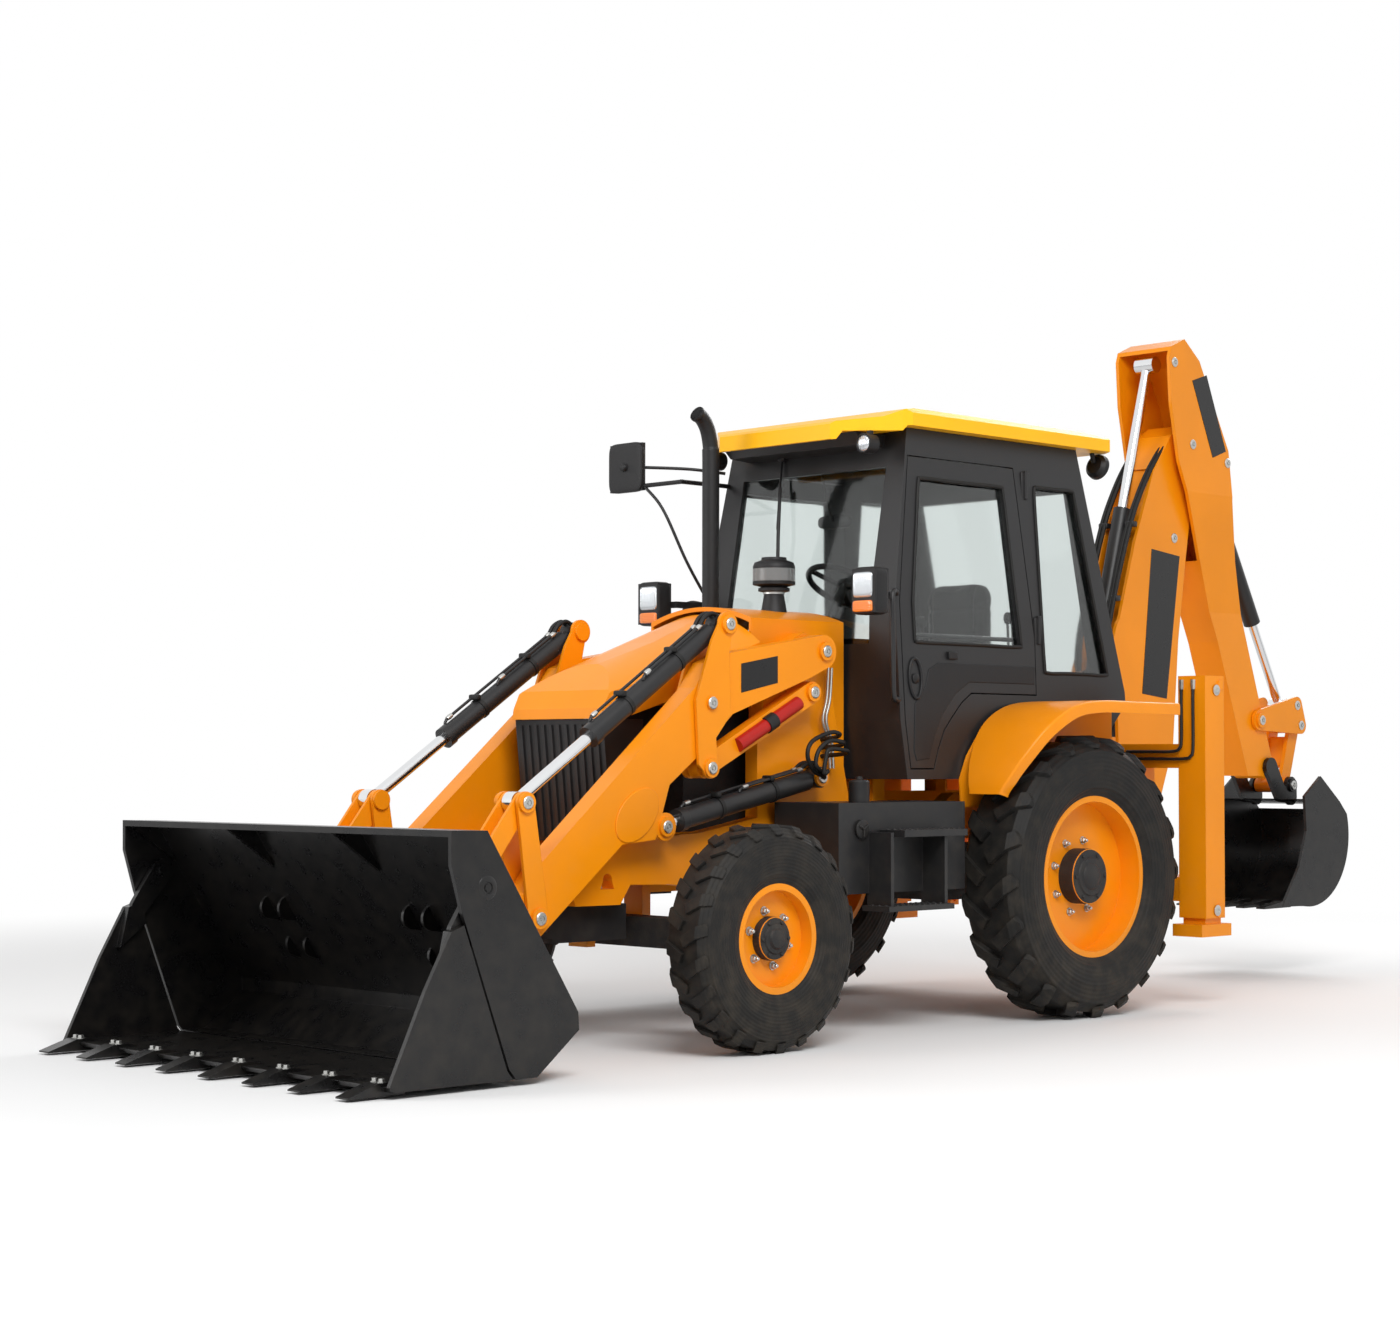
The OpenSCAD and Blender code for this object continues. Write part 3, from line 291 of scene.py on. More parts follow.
def grid_faces(rows, columns, wrap):
    """Quads between a grid's rows; with wrap its last column meets its first."""
    r, c = np.meshgrid(np.arange(rows - 1), np.arange(columns if wrap else columns - 1), indexing="ij")
    n = (c + 1) % columns
    quads = [r * columns + c, r * columns + n, (r + 1) * columns + n, (r + 1) * columns + c]
    return np.stack(quads, -1).reshape(-1, 4).tolist()


def turned(profile, centre, axis, sides=40):
    """A profile of (radius, distance) turned about an axis.

    Each point is centre + distance a + radius (u cos t + v sin t), with u and v square to the axis a.
    """
    profile = np.asarray(profile, float)
    a = np.asarray(axis, float) / np.linalg.norm(axis)
    u = np.cross(a, (0.3, 0.2, 0.93))
    u /= np.linalg.norm(u)
    v = np.cross(a, u)
    t = np.linspace(0, 2 * np.pi, sides, endpoint=False)
    ring = np.cos(t)[:, None] * u + np.sin(t)[:, None] * v
    points = np.asarray(centre, float) + profile[:, 1, None, None] * a + profile[:, 0, None, None] * ring
    return points.reshape(-1, 3), grid_faces(len(profile), sides, True)


def piece(name, parts, finish, body, angle=35):
    """One mesh of several (points, faces) parts in millimetres, with its doubles merged.

    Its faces are turned outwards, and it rides on the body and takes the slot that are named.
    """
    points, faces, count = [], [], 0
    for p, f in parts:
        points.append(metres(p))
        faces += [[i + count for i in face] for face in f]
        count += len(p)
    mesh = bpy.data.meshes.new(name)
    mesh.from_pydata(np.vstack(points).tolist(), [], faces)
    work = bmesh.new()
    work.from_mesh(mesh)
    bmesh.ops.remove_doubles(work, verts=work.verts, dist=1e-5)
    bmesh.ops.recalc_face_normals(work, faces=work.faces)
    work.to_mesh(mesh)
    work.free()
    mesh.polygons.foreach_set("use_smooth", [True] * len(mesh.polygons))
    mesh.set_sharp_from_angle(angle=math.radians(angle))
    made = bpy.data.objects.new(name, mesh)
    scene.collection.objects.link(made)
    mesh.materials.append(finish)
    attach(made, body)
    return made


for end, x, z, face_y, hub_r, dish_y, nut_circle, nut_count in (
        ("front", wheelbase, front_axle_z, 1021, 90, 979, 118, 6),
        ("rear", 0, rear_axle_z, 992, 130, 907, 176, 8)):
    for side, s in both_sides:
        cap = [(hub_r + 1.5, dish_y + 1 - face_y), (hub_r + 1.5, -6), (hub_r - 5, 3), (hub_r * 0.72, 4),
               (hub_r * 0.68, 10), (hub_r * 0.5, 12), (hub_r * 0.42, 22), (hub_r * 0.2, 27), (0, 27.5)]
        bolt_circle = hub_r * 0.84
        hub_bolts = []
        for t in np.arange(6) * math.pi / 3:
            spot = (x + bolt_circle * math.cos(t), s * face_y, z + bolt_circle * math.sin(t))
            hub_bolts.append(turned([(0, -12), (9, -12), (9, 8), (6, 11), (0, 11)], spot, (0, s, 0), 12))
        hub = turned(cap, (x, s * face_y, z), (0, s, 0), 56)
        piece(f"hub_cap_{end}_{side}", [hub] + hub_bolts, cast, f"wheel_{end}_{side}")
        nuts = []
        for t in np.arange(nut_count) * 2 * math.pi / nut_count + 0.3:
            spot = (x + nut_circle * math.cos(t), s * dish_y, z + nut_circle * math.sin(t))
            nuts += [turned([(0, 0), (19, 0), (19, 4), (0, 4)], spot, (0, s, 0), 20),
                     turned([(0, 4), (15, 4), (15, 17), (12, 20), (0, 20)], spot, (0, s, 0), 6),
                     turned([(0, 20), (8, 20), (8, 30), (6, 32), (0, 32)], spot, (0, s, 0), 12)]
        piece(f"wheel_nuts_{end}_{side}", nuts, zinc, f"wheel_{end}_{side}")

# Window glass. Toughened panes about 6 mm thick, lightly tinted, bonded or clipped into the frame
# openings a little behind the outer face of each wall or door.
glass, tree, shader = plain_finish("window_glass", (0.80, 0.84, 0.83), 0.0, 0.02)
shader.inputs["Transmission Weight"].default_value = 1.0
shader.inputs["IOR"].default_value = 1.45
smear = add(tree, "ShaderNodeTexNoise", Vector=object_place(tree), Scale=3.0, Detail=6.0).outputs["Fac"]
feed(tree, shader.inputs["Roughness"], spread(tree, smear, 0.0, 1.0, 0.01, 0.09))

pane_inset, pane_thickness = 16, 6
sill_y, sill_z = 690, 1130
header_y, header_z = 575, 2690


def slab(outline, offset):
    """A flat outline of points carried along an offset, as a closed prism."""
    outline = np.asarray(outline, float)
    k = len(outline)
    faces = [list(range(k)), list(range(2 * k - 1, k - 1, -1))]
    faces += [[i, (i + 1) % k, (i + 1) % k + k, i + k] for i in range(k)]
    return np.vstack([outline, outline + np.asarray(offset, float)]), faces


def wall_y(z):
    """Distance of the cab's leaning outer side face from the middle, at height z."""
    return sill_y - (sill_y - header_y) / (header_z - sill_z) * (np.asarray(z, float) - sill_z)


def side_pane(corners, s, inset, thickness):
    """A pane in the leaning side wall, its corners given as x and z."""
    c = np.asarray(corners, float)
    outer = np.column_stack([c[:, 0], s * (wall_y(c[:, 1]) - inset), c[:, 1]])
    return slab(outer, (0, -s * thickness, 0))


door_pane = [[860, 1750], [860, 1952], [768, 2550], [142, 2550], [70, 1750]]
quarter_pane = [[-82, 2568], [-418, 2568], [-612, 1632], [-82, 1632]]
for side, s in both_sides:
    door_glass = side_pane(door_pane, s, pane_inset, pane_thickness)
    quarter_glass = side_pane(quarter_pane, s, pane_inset, pane_thickness)
    piece(f"door_glass_{side}", [door_glass], glass, f"door_{side}")
    piece(f"quarter_glass_{side}", [quarter_glass], glass, "chassis")
screen_y = 479
screen_rows = np.array([[966.5, 1750], [963, 1950], [843.5, 2600]])
screen_ring = ((-screen_y, 0), (screen_y, 0), (screen_y, pane_thickness), (-screen_y, pane_thickness))
front_grid = np.stack([np.column_stack([screen_rows[:, 0] - d, np.full(3, y), screen_rows[:, 1]])
                       for y, d in screen_ring], 1).reshape(-1, 3)
front_faces = grid_faces(3, 4, True) + [[0, 1, 2, 3], [11, 10, 9, 8]]
piece("windscreen", [(front_grid, front_faces)], glass, "chassis")
rear_y = 489
rear_pane = [[-706, -rear_y, 1610], [-706, rear_y, 1610], [-485, rear_y, 2570], [-485, -rear_y, 2570]]
piece("rear_window", [slab(rear_pane, (pane_thickness, 0, 0))], glass, "chassis")

# Door and pillar fittings. Black steel hinges stand between each door and its rear pillar, an oval
# ring surrounds the sunk handle, and a tube to hold on to runs up the front pillar.


def route_through(corners, count=10):
    """Points on a Catmull-Rom curve that passes through the corners, count of them to each stretch."""
    c = np.asarray(corners, float)
    c = np.vstack([2 * c[0] - c[1], c, 2 * c[-1] - c[-2]])
    t = np.linspace(0, 1, count, endpoint=False)[:, None, None]
    a, b, d, e = c[:-3], c[1:-2], c[2:-1], c[3:]
    curve = 0.5 * (2 * b + (d - a) * t + (2 * a - 5 * b + 4 * d - e) * t ** 2
                   + (3 * b - a - 3 * d + e) * t ** 3)
    return np.vstack([curve.transpose(1, 0, 2).reshape(-1, 3), c[-2]])


def tube(route, radius, sides=14):
    """A round tube about a route. Each ring is the route's point + radius (n cos t + b sin t).

    n and b are square to the route and to each other, and the radius is one number or one a point.
    """
    route = np.asarray(route, float)
    run = np.gradient(route, axis=0)
    run /= np.linalg.norm(run, axis=1, keepdims=True)
    flat = np.linalg.svd(route - route.mean(0))[2][2]
    n = np.cross(run, flat)
    n /= np.linalg.norm(n, axis=1, keepdims=True)
    b = np.cross(run, n)
    t = np.linspace(0, 2 * np.pi, sides, endpoint=False)
    r = np.broadcast_to(np.asarray(radius, float), len(route))[:, None, None]
    cos_t, sin_t = np.cos(t)[None, :, None], np.sin(t)[None, :, None]
    rings = route[:, None] + r * (cos_t * n[:, None] + sin_t * b[:, None])
    ends = [list(range(sides)), list(range((len(route) - 1) * sides, len(route) * sides))]
    return rings.reshape(-1, 3), grid_faces(len(route), sides, True) + ends


def block(low, high):
    """A box between two corners, as a closed prism."""
    (x0, y0, z0), (x1, y1, z1) = low, high
    return slab([[x0, y0, z0], [x1, y0, z0], [x1, y1, z0], [x0, y1, z0]], (0, 0, z1 - z0))


def ease(made, width, segments=2):
    """Rounds a piece's edges with a bevel of the given width in millimetres."""
    bevel = made.modifiers.new("ease", "BEVEL")
    bevel.width = width / 1000
    bevel.segments = segments
    bevel.limit_method = "ANGLE"
    return made


handle_x, handle_z = 867, 1595
door_edge = [[855, 1764], [855, 1948], [764, 2536], [148, 2536], [76, 1764]]
quarter_edge = [[-94, 2556], [-406, 2556], [-594, 1644], [-94, 1644]]
for side, s in both_sides:
    hinges = []
    for x, z in ((-24, 2560), (-58, 1850)):
        y = float(wall_y(z))
        leaf_y = s * (y - 4)
        hinges += [block((x - 34, leaf_y - 9, z - 62), (x + 26, leaf_y + 9, z + 62)),
                   tube([[x - 4, s * (y + 6), z + up] for up in (-70, 0, 70)], 11)]
    ease(piece(f"door_hinges_{side}", hinges, grey, "chassis"), 3)
    around = np.linspace(0, 2 * np.pi, 49)
    oval_z = handle_z + 92 * np.sin(around)
    oval = np.column_stack([handle_x + 42 * np.cos(around), s * (wall_y(oval_z) + 2), oval_z])
    knob_place = (handle_x, s * float(wall_y(handle_z)), handle_z)
    knob = turned([(0, -6), (24, -6), (24, 6), (16, 12), (0, 13)], knob_place, (0, s, 0), 28)
    piece(f"handle_ring_{side}", [tube(oval, 9), knob], plastic, f"door_{side}")
    y = float(wall_y(1709))
    near_y, far_y = sorted((s * (y - 8), s * (y + 16)))
    lock = block((570, near_y, 1690), (632, far_y, 1726))
    ease(piece(f"lock_box_{side}", [lock], plastic, f"door_{side}"), 4)
    grab = route_through([[975, s * 640, 1985], [1030, s * 672, 1990], [1056, s * 684, 1950],
                          [1058, s * 688, 1740], [1056, s * 690, 1530], [1030, s * 682, 1494],
                          [975, s * 652, 1500]])
    piece(f"grab_tube_{side}", [tube(grab, 13)], grey, "chassis")
    raised = side_pane([[905, 1262], [880, 1480], [800, 1560], [770, 1640], [700, 1672], [-20, 1672],
                        [-6, 1585], [480, 1585], [585, 1530], [690, 1430], [752, 1330], [800, 1225],
                        [892, 1215]], s, -3.5, 8)
    ease(piece(f"door_panel_{side}", [raised], plastic, f"door_{side}"), 3, 3)
    for name, body, edge in (("door", f"door_{side}", door_edge), ("quarter", "chassis", quarter_edge)):
        loop = np.asarray(edge + edge[:1], float)
        mids = [a + (b - a) * t for a, b in zip(loop[:-1], loop[1:]) for t in (0.04, 0.35, 0.65, 0.96)]
        ring = np.array(mids + mids[:1])
        path = np.column_stack([ring[:, 0], s * (wall_y(ring[:, 1]) + 1), ring[:, 1]])
        seal = tube(route_through(path, 4), 9, 10)
        piece(f"{name}_seal_{side}", [seal], hose_rubber, body, 60)
    bar_z = 1800
    bar_y = s * (float(wall_y(bar_z)) - 46)
    bar = tube([[x, bar_y, bar_z] for x in (75, 460, 862)], 11)
    piece(f"door_bar_{side}", [bar], grey, f"door_{side}")

# Seat. A sprung driver's seat: a foam base cushion and a rounded back, covered in black woven
# cloth and puffed a little at the middle, on a dark moulded pedestal.
cloth, tree, shader = worked_finish("seat_cloth", (0.014, 0.014, 0.015), 0.0, 0.75, 0.3, 0.06, 1400.0,
                                    0.3, 0.0)
shader.inputs["Sheen Weight"].default_value = 0.3
voxel = 0.008
cloth_pressure, cloth_frames = 4.0, 20
puff_limit = 0.022
seam_width, seam_depth = 0.007, 0.009


def signed_power(wave, power):
    """A power of a wave's size, with the wave's own sign."""
    return np.sign(wave) * np.abs(wave) ** power


def pad(centre, half, squareness=0.35, rows=24, columns=48):
    """A rounded block: centre + half * signed powers of the cos and sin of two angles.

    The squareness is the power: 1 gives an ellipsoid, and near 0 the block is almost square.
    """
    v = np.linspace(-np.pi / 2, np.pi / 2, rows)[:, None]
    u = np.linspace(0, 2 * np.pi, columns, endpoint=False)[None, :]
    x = signed_power(np.cos(v), squareness) * signed_power(np.cos(u), squareness)
    y = signed_power(np.cos(v), squareness) * signed_power(np.sin(u), squareness)
    z = signed_power(np.sin(v), squareness) * np.ones_like(u)
    points = np.stack([x, y, z], -1) * np.asarray(half, float) + np.asarray(centre, float)
    return points.reshape(-1, 3), grid_faces(rows, columns, True)


def puff(made, seams, across):
    """Remeshes a cushion, swells it with cloth pressure up to a limit, and smooths it once.

    Each seam is (axis, place). The points near it sink along the directions in across, by the seam's
    depth times exp(-(distance / seam width)^2).
    """
    remesh = made.modifiers.new("remesh", "REMESH")
    remesh.mode = "VOXEL"
    remesh.voxel_size = voxel
    graph = bpy.context.evaluated_depsgraph_get()
    solid = bpy.data.meshes.new_from_object(made.evaluated_get(graph))
    made.modifiers.clear()
    made.data = solid
    start = np.zeros(len(solid.vertices) * 3)
    solid.vertices.foreach_get("co", start)
    cushion = made.modifiers.new("cloth", "CLOTH")
    cushion.settings.use_pressure = True
    cushion.settings.uniform_pressure_force = cloth_pressure
    cushion.settings.effector_weights.gravity = 0.0
    for step in range(1, cloth_frames + 1):
        scene.frame_set(step)
    swollen = made.evaluated_get(bpy.context.evaluated_depsgraph_get()).data
    moved = np.zeros(len(start))
    swollen.vertices.foreach_get("co", moved)
    made.modifiers.clear()
    shift = (moved - start).reshape(-1, 3)
    reach = np.linalg.norm(shift, axis=1, keepdims=True)
    shift *= np.minimum(1, puff_limit / np.maximum(reach, 1e-9))
    start = (start.reshape(-1, 3) + shift).ravel()
    scene.frame_set(1)
    points = start.reshape(-1, 3)
    for axis, place in seams:
        bell = np.exp(-((points[:, axis] - place) / seam_width) ** 2)
        points -= seam_depth * bell[:, None] * np.sign(points - points.mean(0)) * np.asarray(across, float)
    solid.vertices.foreach_set("co", points.ravel())
    solid.polygons.foreach_set("use_smooth", [True] * len(solid.polygons))
    made.modifiers.new("smooth", "SUBSURF").levels = 1
    made.modifiers["smooth"].render_levels = 1


base_foam = pad((-30, 0, 1585), (185, 220, 52))
back_foam = pad((-222, 0, 1880), (42, 210, 248))
base_pad = piece("seat_base_pad", [base_foam], cloth, "chassis", 180)
back_pad = piece("seat_back_pad", [back_foam], cloth, "chassis", 180)
puff(base_pad, [(1, -0.135), (1, 0.135), (0, -0.60)], (0, 0, 1))
puff(back_pad, [(1, -0.135), (1, 0.135), (2, 1.76), (2, 1.98)], (1, 0, 0))
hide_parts("seat")
stand = [block((-230, -170, 1171), (170, 170, 1480)), block((-245, -215, 1480), (185, 215, 1530)),
         block((-262, -40, 1500), (-232, 40, 1760))]
ease(piece("seat_pedestal", stand, plastic, "chassis"), 12, 3)

# Driver's levers, spinner knob and inside mirror. Bent rods with moulded knobs come out of the side
# consoles, a small knob stands by the rim of the steering wheel, and the mirror hangs on a stalk.
levers = []
for y in (-320, -290, 290, 320):
    rod_route = route_through([[-250, y, 1560], [-258, y, 1750], [-262, y * 0.97, 1900]])
    levers += [tube(rod_route, 7, 10), pad((-262, y * 0.97, 1930), (20, 20, 32), 0.9, 12, 20)]
levers += [block((-330, -400, 1300), (-120, -262, 1570)), block((-330, 262, 1300), (-120, 400, 1570)),
           pad((560, 120, 2110), (22, 22, 30), 0.9, 12, 20), pad((700, 0, 2372), (16, 110, 34), 0.6, 14, 30),
           tube([[715, 0, 2372], [760, 0, 2470], [790, 0, 2600]], 8, 10)]
ease(piece("cab_levers", levers, plastic, "chassis"), 6)

# Windscreen wiper. One arm hangs from the middle of the header and carries a rubber blade that
# lies along the glass.
wipe = [tube([[858, -206, 2690], [888, -190, 2560], [950, -150, 2330]], 6, 10),
        tube([[905, -175, 2540], [955, -140, 2290], [992, -110, 1980]], 9, 8),
        turned([(0, 0), (24, 0), (24, 30), (16, 38), (0, 38)], (838, -206, 2690), (1, 0, 0), 24)]
piece("wiper", wipe, plastic, "chassis")

# Lamps. Headlamps are black boxes with a ribbed clear lens over an amber one; round work lamps
# hang under the roof's front corners, and a domed one at each rear corner looks backwards.


def lens_finish(name, base, metallic, roughness, scale, direction, strength, depth):
    """A coated lens whose ribs follow one another in the given direction."""
    material, tree, shader = plain_finish(name, base, metallic, roughness, 1.0)
    fluting = add(tree, "ShaderNodeTexWave", Vector=object_place(tree), Scale=scale,
                  bands_direction=direction)
    ribbed = add(tree, "ShaderNodeBump", Strength=strength, Distance=depth, Height=fluting.outputs["Fac"])
    feed(tree, shader.inputs["Normal"], ribbed.outputs["Normal"])
    return material


clear = lens_finish("clear_lens", (0.62, 0.65, 0.68), 0.75, 0.14, 28.0, "Y", 0.4, 0.004)
amber = lens_finish("amber_lens", (0.9, 0.22, 0.01), 0.0, 0.12, 40.0, "Z", 0.3, 0.003)
work_lamp_y, rear_lamp_y, lamp_z = 500, 540, 2683
for side, s in both_sides:
    shell = pad((1236, s * 710, 1980), (47, 76, 108), 0.28, 24, 40)
    piece(f"headlamp_shell_{side}", [shell], plastic, "chassis", 60)
    lens = pad((1270, s * 706, 2006), (18, 60, 58), 0.3, 16, 36)
    piece(f"headlamp_lens_{side}", [lens], clear, "chassis", 60)
    turn = pad((1271, s * 706, 1910), (18, 60, 26), 0.3, 16, 36)
    piece(f"turn_lens_{side}", [turn], amber, "chassis", 60)
    dish = turned([(0, 9), (20, 8), (34, 4), (40, -2), (0, -3)], (1047, s * work_lamp_y, lamp_z),
                  (1, 0, 0), 40)
    piece(f"roof_lens_{side}", [dish], clear, "chassis")
    ring = turned([(39, -2), (46, -2), (46, 5), (41, 8), (39, 5), (39, -2)],
                  (1045.2, s * work_lamp_y, lamp_z), (1, 0, 0), 40)
    dome = turned([(0, 0), (44, 0), (62, 16), (66, 40), (58, 48), (0, 52)],
                  (-640, s * rear_lamp_y, 2712), (-1, 0, -0.25), 36)
    post = tube([[x, s * rear_lamp_y, z] for x, z in ((-640, 2725), (-630, 2745), (-620, 2775))], 12, 12)
    piece(f"roof_lamp_trim_{side}", [ring, dome, post], plastic, "chassis")

# Outside mirror. A moulded shell on the right, held by bent tubes off the front pillar.
shell = pad((1197, -955.5, 2671.5), (17, 121, 124), 0.3, 20, 44)
clamp = turned([(0, 0), (20, 0), (20, 14), (14, 18), (0, 18)], (1212, -955.5, 2672), (1, 0, 0), 24)
piece("mirror_shell", [shell, clamp], plastic, "chassis", 60)
mirror_glass = plain_finish("mirror_glass", (0.8, 0.82, 0.84), 1.0, 0.03)[0]
mirror_face = block((1176, -1060, 2567), (1180.6, -851, 2776))
ease(piece("mirror_glass", [mirror_face], mirror_glass, "chassis"), 1)
upper_stay = [[868, -590, 2640], [1000, -700, 2660], [1150, -860, 2670], [1188, -930, 2672]]
lower_stay = [[975, -618, 2020], [1080, -650, 2200], [1160, -730, 2450], [1186, -840, 2575]]
stays = [tube(route_through(corners), 8, 12) for corners in (upper_stay, lower_stay)]
piece("mirror_stays", stays, grey, "chassis")

# Exhaust and air pre-cleaner. A black pipe rises from the bonnet and bends forward at its tip. Beside
# it a cone carries the pre-cleaner, whose clear bowl spins the coarse dust out of the air.
bowl, tree, shader = plain_finish("bowl_plastic", (0.30, 0.31, 0.31), 0.0, 0.18, 0.6)
shader.inputs["Transmission Weight"].default_value = 0.55
haze = add(tree, "ShaderNodeTexNoise", Vector=object_place(tree), Scale=24.0, Detail=5.0).outputs["Fac"]
feed(tree, shader.inputs["Roughness"], spread(tree, haze, 0.0, 1.0, 0.1, 0.35))
pipe_x, pipe_y = 1290, -262
cleaner_foot = (1230, 100, 0)
pipe = route_through([[pipe_x, pipe_y, 1470], [pipe_x, pipe_y, 1900], [pipe_x, pipe_y, 2400],
                      [pipe_x, pipe_y, 2640], [1294, pipe_y, 2720], [1312, pipe_y, 2790],
                      [1345, pipe_y, 2838], [1385, pipe_y, 2862]], 8)
run = np.arange(len(pipe))
mouth = tube(pipe, np.where(run < 30, 41.0, 37.0), 32)
lip = tube(pipe[-4:], [38, 39.5, 39.5, 38], 32)
cone = turned([(0, 1460), (66, 1460), (66, 1900), (60, 1915), (47, 1990), (47, 2000), (74, 2006), (74, 2020),
               (60, 2026), (100, 2036), (100, 2050), (40, 2052), (38, 2112), (99, 2112), (99, 2122),
               (92, 2140), (60, 2152), (58, 2164), (0, 2168)], cleaner_foot, (0, 0, 1), 56)
stack = piece("exhaust_and_cleaner", [mouth, lip, cone], plastic, "chassis", 50)
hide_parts("stacks")
bowl_wall = turned([(98, 2050.5), (100, 2052), (100, 2110), (98, 2111.5), (94, 2111.5), (94, 2050.5),
                    (98, 2050.5)], cleaner_foot, (0, 0, 1), 56)
piece("cleaner_bowl", [bowl_wall], bowl, "chassis")
bands = [turned([(41.2, z), (45, z), (45, z + 12), (41.2, z + 12)], (pipe_x, pipe_y, 0), (0, 0, 1), 40)
         for z in (1760, 1905)]
bands.append(turned([(48, 1992), (51, 1992), (51, 2001), (48, 2001)], cleaner_foot, (0, 0, 1), 40))
piece("stack_bands", bands, zinc, "chassis")

# Rear fenders. Each is one pressed sheet that curves over the tyre, with a folded outer lip, and
# narrows towards its lower front end. A flat wall closes it against the cab. A section's points are
# given as (from the outer edge or not, distance across, height above the sheet).
fender_in, fender_out = 690.5, 1116
section = [(0, 0, 0), (1, -14, 0), (1, -6, -2), (1, -1.5, -6), (1, 0, -14), (1, 0, -58), (1, -7, -58),
           (1, -7, -15), (1, -16, -8), (0, 0, -8)]
wall_edge = [(-560, 1490), (60, 1494), (270, 1464), (440, 1370), (550, 1236), (600, 1130), (590, 1000),
             (-560, 1000)]
for side, s in both_sides:
    arc = route_through([[-560, 0, 1497], [-250, 0, 1499], [60, 0, 1500], [270, 0, 1470], [440, 0, 1378],
                         [555, 0, 1240], [612, 0, 1130], [632, 0, 1062]], 8)
    run = np.gradient(arc, axis=0)
    run /= np.linalg.norm(run, axis=1, keepdims=True)
    up = np.column_stack([-run[:, 2], run[:, 1], run[:, 0]])
    drop = np.clip((1440 - arc[:, 2]) / 370, 0, 1) * (arc[:, 0] > 0)
    inner, outer = fender_in + 90 * drop ** 1.5, fender_out - 150 * drop ** 1.3
    still = np.zeros(len(arc))
    rings = [arc + np.column_stack([still, s * (np.where(from_outer, outer, inner) + y), still]) + d * up
             for from_outer, y, d in section]
    sheet = np.stack(rings, 1).reshape(-1, 3)
    count = len(section)
    ends = [list(range(count)), list(range(len(sheet) - count, len(sheet)))]
    pressed = (sheet, grid_faces(len(arc), count, True) + ends)
    wall = slab([[x, s * fender_in, z] for x, z in wall_edge], (0, s * 13, 0))
    fender = piece(f"fender_{side}", [pressed, wall], yellow, "chassis", 40)
    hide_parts("fenders")

# Pins and their caps. Every main pin ends in a machined steel face held by one bolt, a little
# proud of its painted collar.
caps = {}
for body, y, pins in (
        ("levers", 566, [(1978, 1809)]), ("levers", 562, [(2082, 1464), (2083, 1183)]),
        ("arms", 566, [(3057, 575), (3330, 400)]), ("arms", 544, [(2332, 934)]),
        ("tipping_levers", 565, [(3127, 1045)]), ("bucket", 566, [(3484, 588)]),
        ("chassis", 546, [(1342, 1709)]), ("chassis", 526, [(1402, 1523), (1351, 1140)]),
        ("kingpost", 132, [(-1620, 900)]), ("boom", 118, [(-1913, 2443)]),
        ("dipper", 182, [(-2003, 2964), (-1836, 3403), (-2333, 2886)]), ("dipper", 140, [(-2728, 1448)]),
        ("hoe_levers", 125, [(-3148, 1423), (-3108, 1539)]), ("hoe_bucket", 142, [(-3038, 1075)])):
    for x, z in pins:
        for s in (1, -1):
            spot = (x, s * y, z)
            caps.setdefault(body, []).extend([
                turned([(0, -2), (27, -2), (27, 4), (23, 7), (13, 7), (12, 3), (0, 3)], spot, (0, s, 0), 32),
                turned([(0, 3), (8, 3), (8, 9), (0, 9)], spot, (0, s, 0), 6)])
for body, parts in caps.items():
    piece(f"pin_caps_{body}", parts, zinc, body)

# Loader ram lines. Steel pipes run along each ram in clamps, with plated ferrules at their ends,
# and short hoses loop from them behind the pins.


def along_ram(foot, head, y, distance, lift, sideways=0.0):
    """A point at a distance along a ram from its foot, raised square to it by lift, in millimetres."""
    d = np.array(head, float) - np.array(foot, float)
    d /= np.linalg.norm(d)
    p = np.array(foot, float) + distance * d + lift * np.array([-d[1], d[0]])
    return [p[0], y + sideways, p[1]]


ram_y = 482
for name, foot, head, radius, first, last in (
        ("tilt", (1978, 1809), (3127, 1045), 44, 110, 850),
        ("lift", (1351, 1140), (2332, 934), 46, 110, 840)):
    body = f"{name}_tubes"
    pipe_rise = radius + 13
    for side, s in both_sides:
        lines, ferrules, clamps = [], [], []
        for k, reach in ((-16, last), (16, last - 330)):
            stops = [first, first + 60, (first + reach) / 2, reach - 60, reach - 14, reach]
            rises = [pipe_rise, pipe_rise, pipe_rise, pipe_rise, radius + 8, radius - 4]
            way = route_through([along_ram(foot, head, s * ram_y, d, h, k) for d, h in zip(stops, rises)], 5)
            lines.append(tube(way, 7, 10))
            for d in (first + 6, reach - 40):
                ends = [along_ram(foot, head, s * ram_y, d + e, pipe_rise, k) for e in (-16, 0, 16)]
                ferrules.append(tube(ends, [10, 12, 10], 12))
            bends = ((first, pipe_rise), (first - 45, radius + 30), (first - 95, radius + 22),
                     (first - 120, radius - 12))
            loop = route_through([along_ram(foot, head, s * ram_y, d, h, k) for d, h in bends], 8)
            clamps.append(tube(loop, 10, 12))
        for d in (first + 190, last - 200):
            hold = along_ram(foot, head, s * ram_y, d, 0)
            further = along_ram(foot, head, s * ram_y, d + 100, 0)
            axis = np.array(further) - np.array(hold)
            strap = [(radius + 0.5, -10), (radius + 4, -10), (radius + 4, 10), (radius + 0.5, 10)]
            clamps.append(turned(strap, hold, axis, 40))
            top = along_ram(foot, head, s * ram_y, d, radius + 14)
            clamps.append(pad(top, (14, 32, 13), 0.4, 10, 24))
        piece(f"{name}_lines_{side}", lines, grey, body)
        piece(f"{name}_ferrules_{side}", ferrules, zinc, body)
        piece(f"{name}_clamps_{side}", clamps, hose_rubber, body)

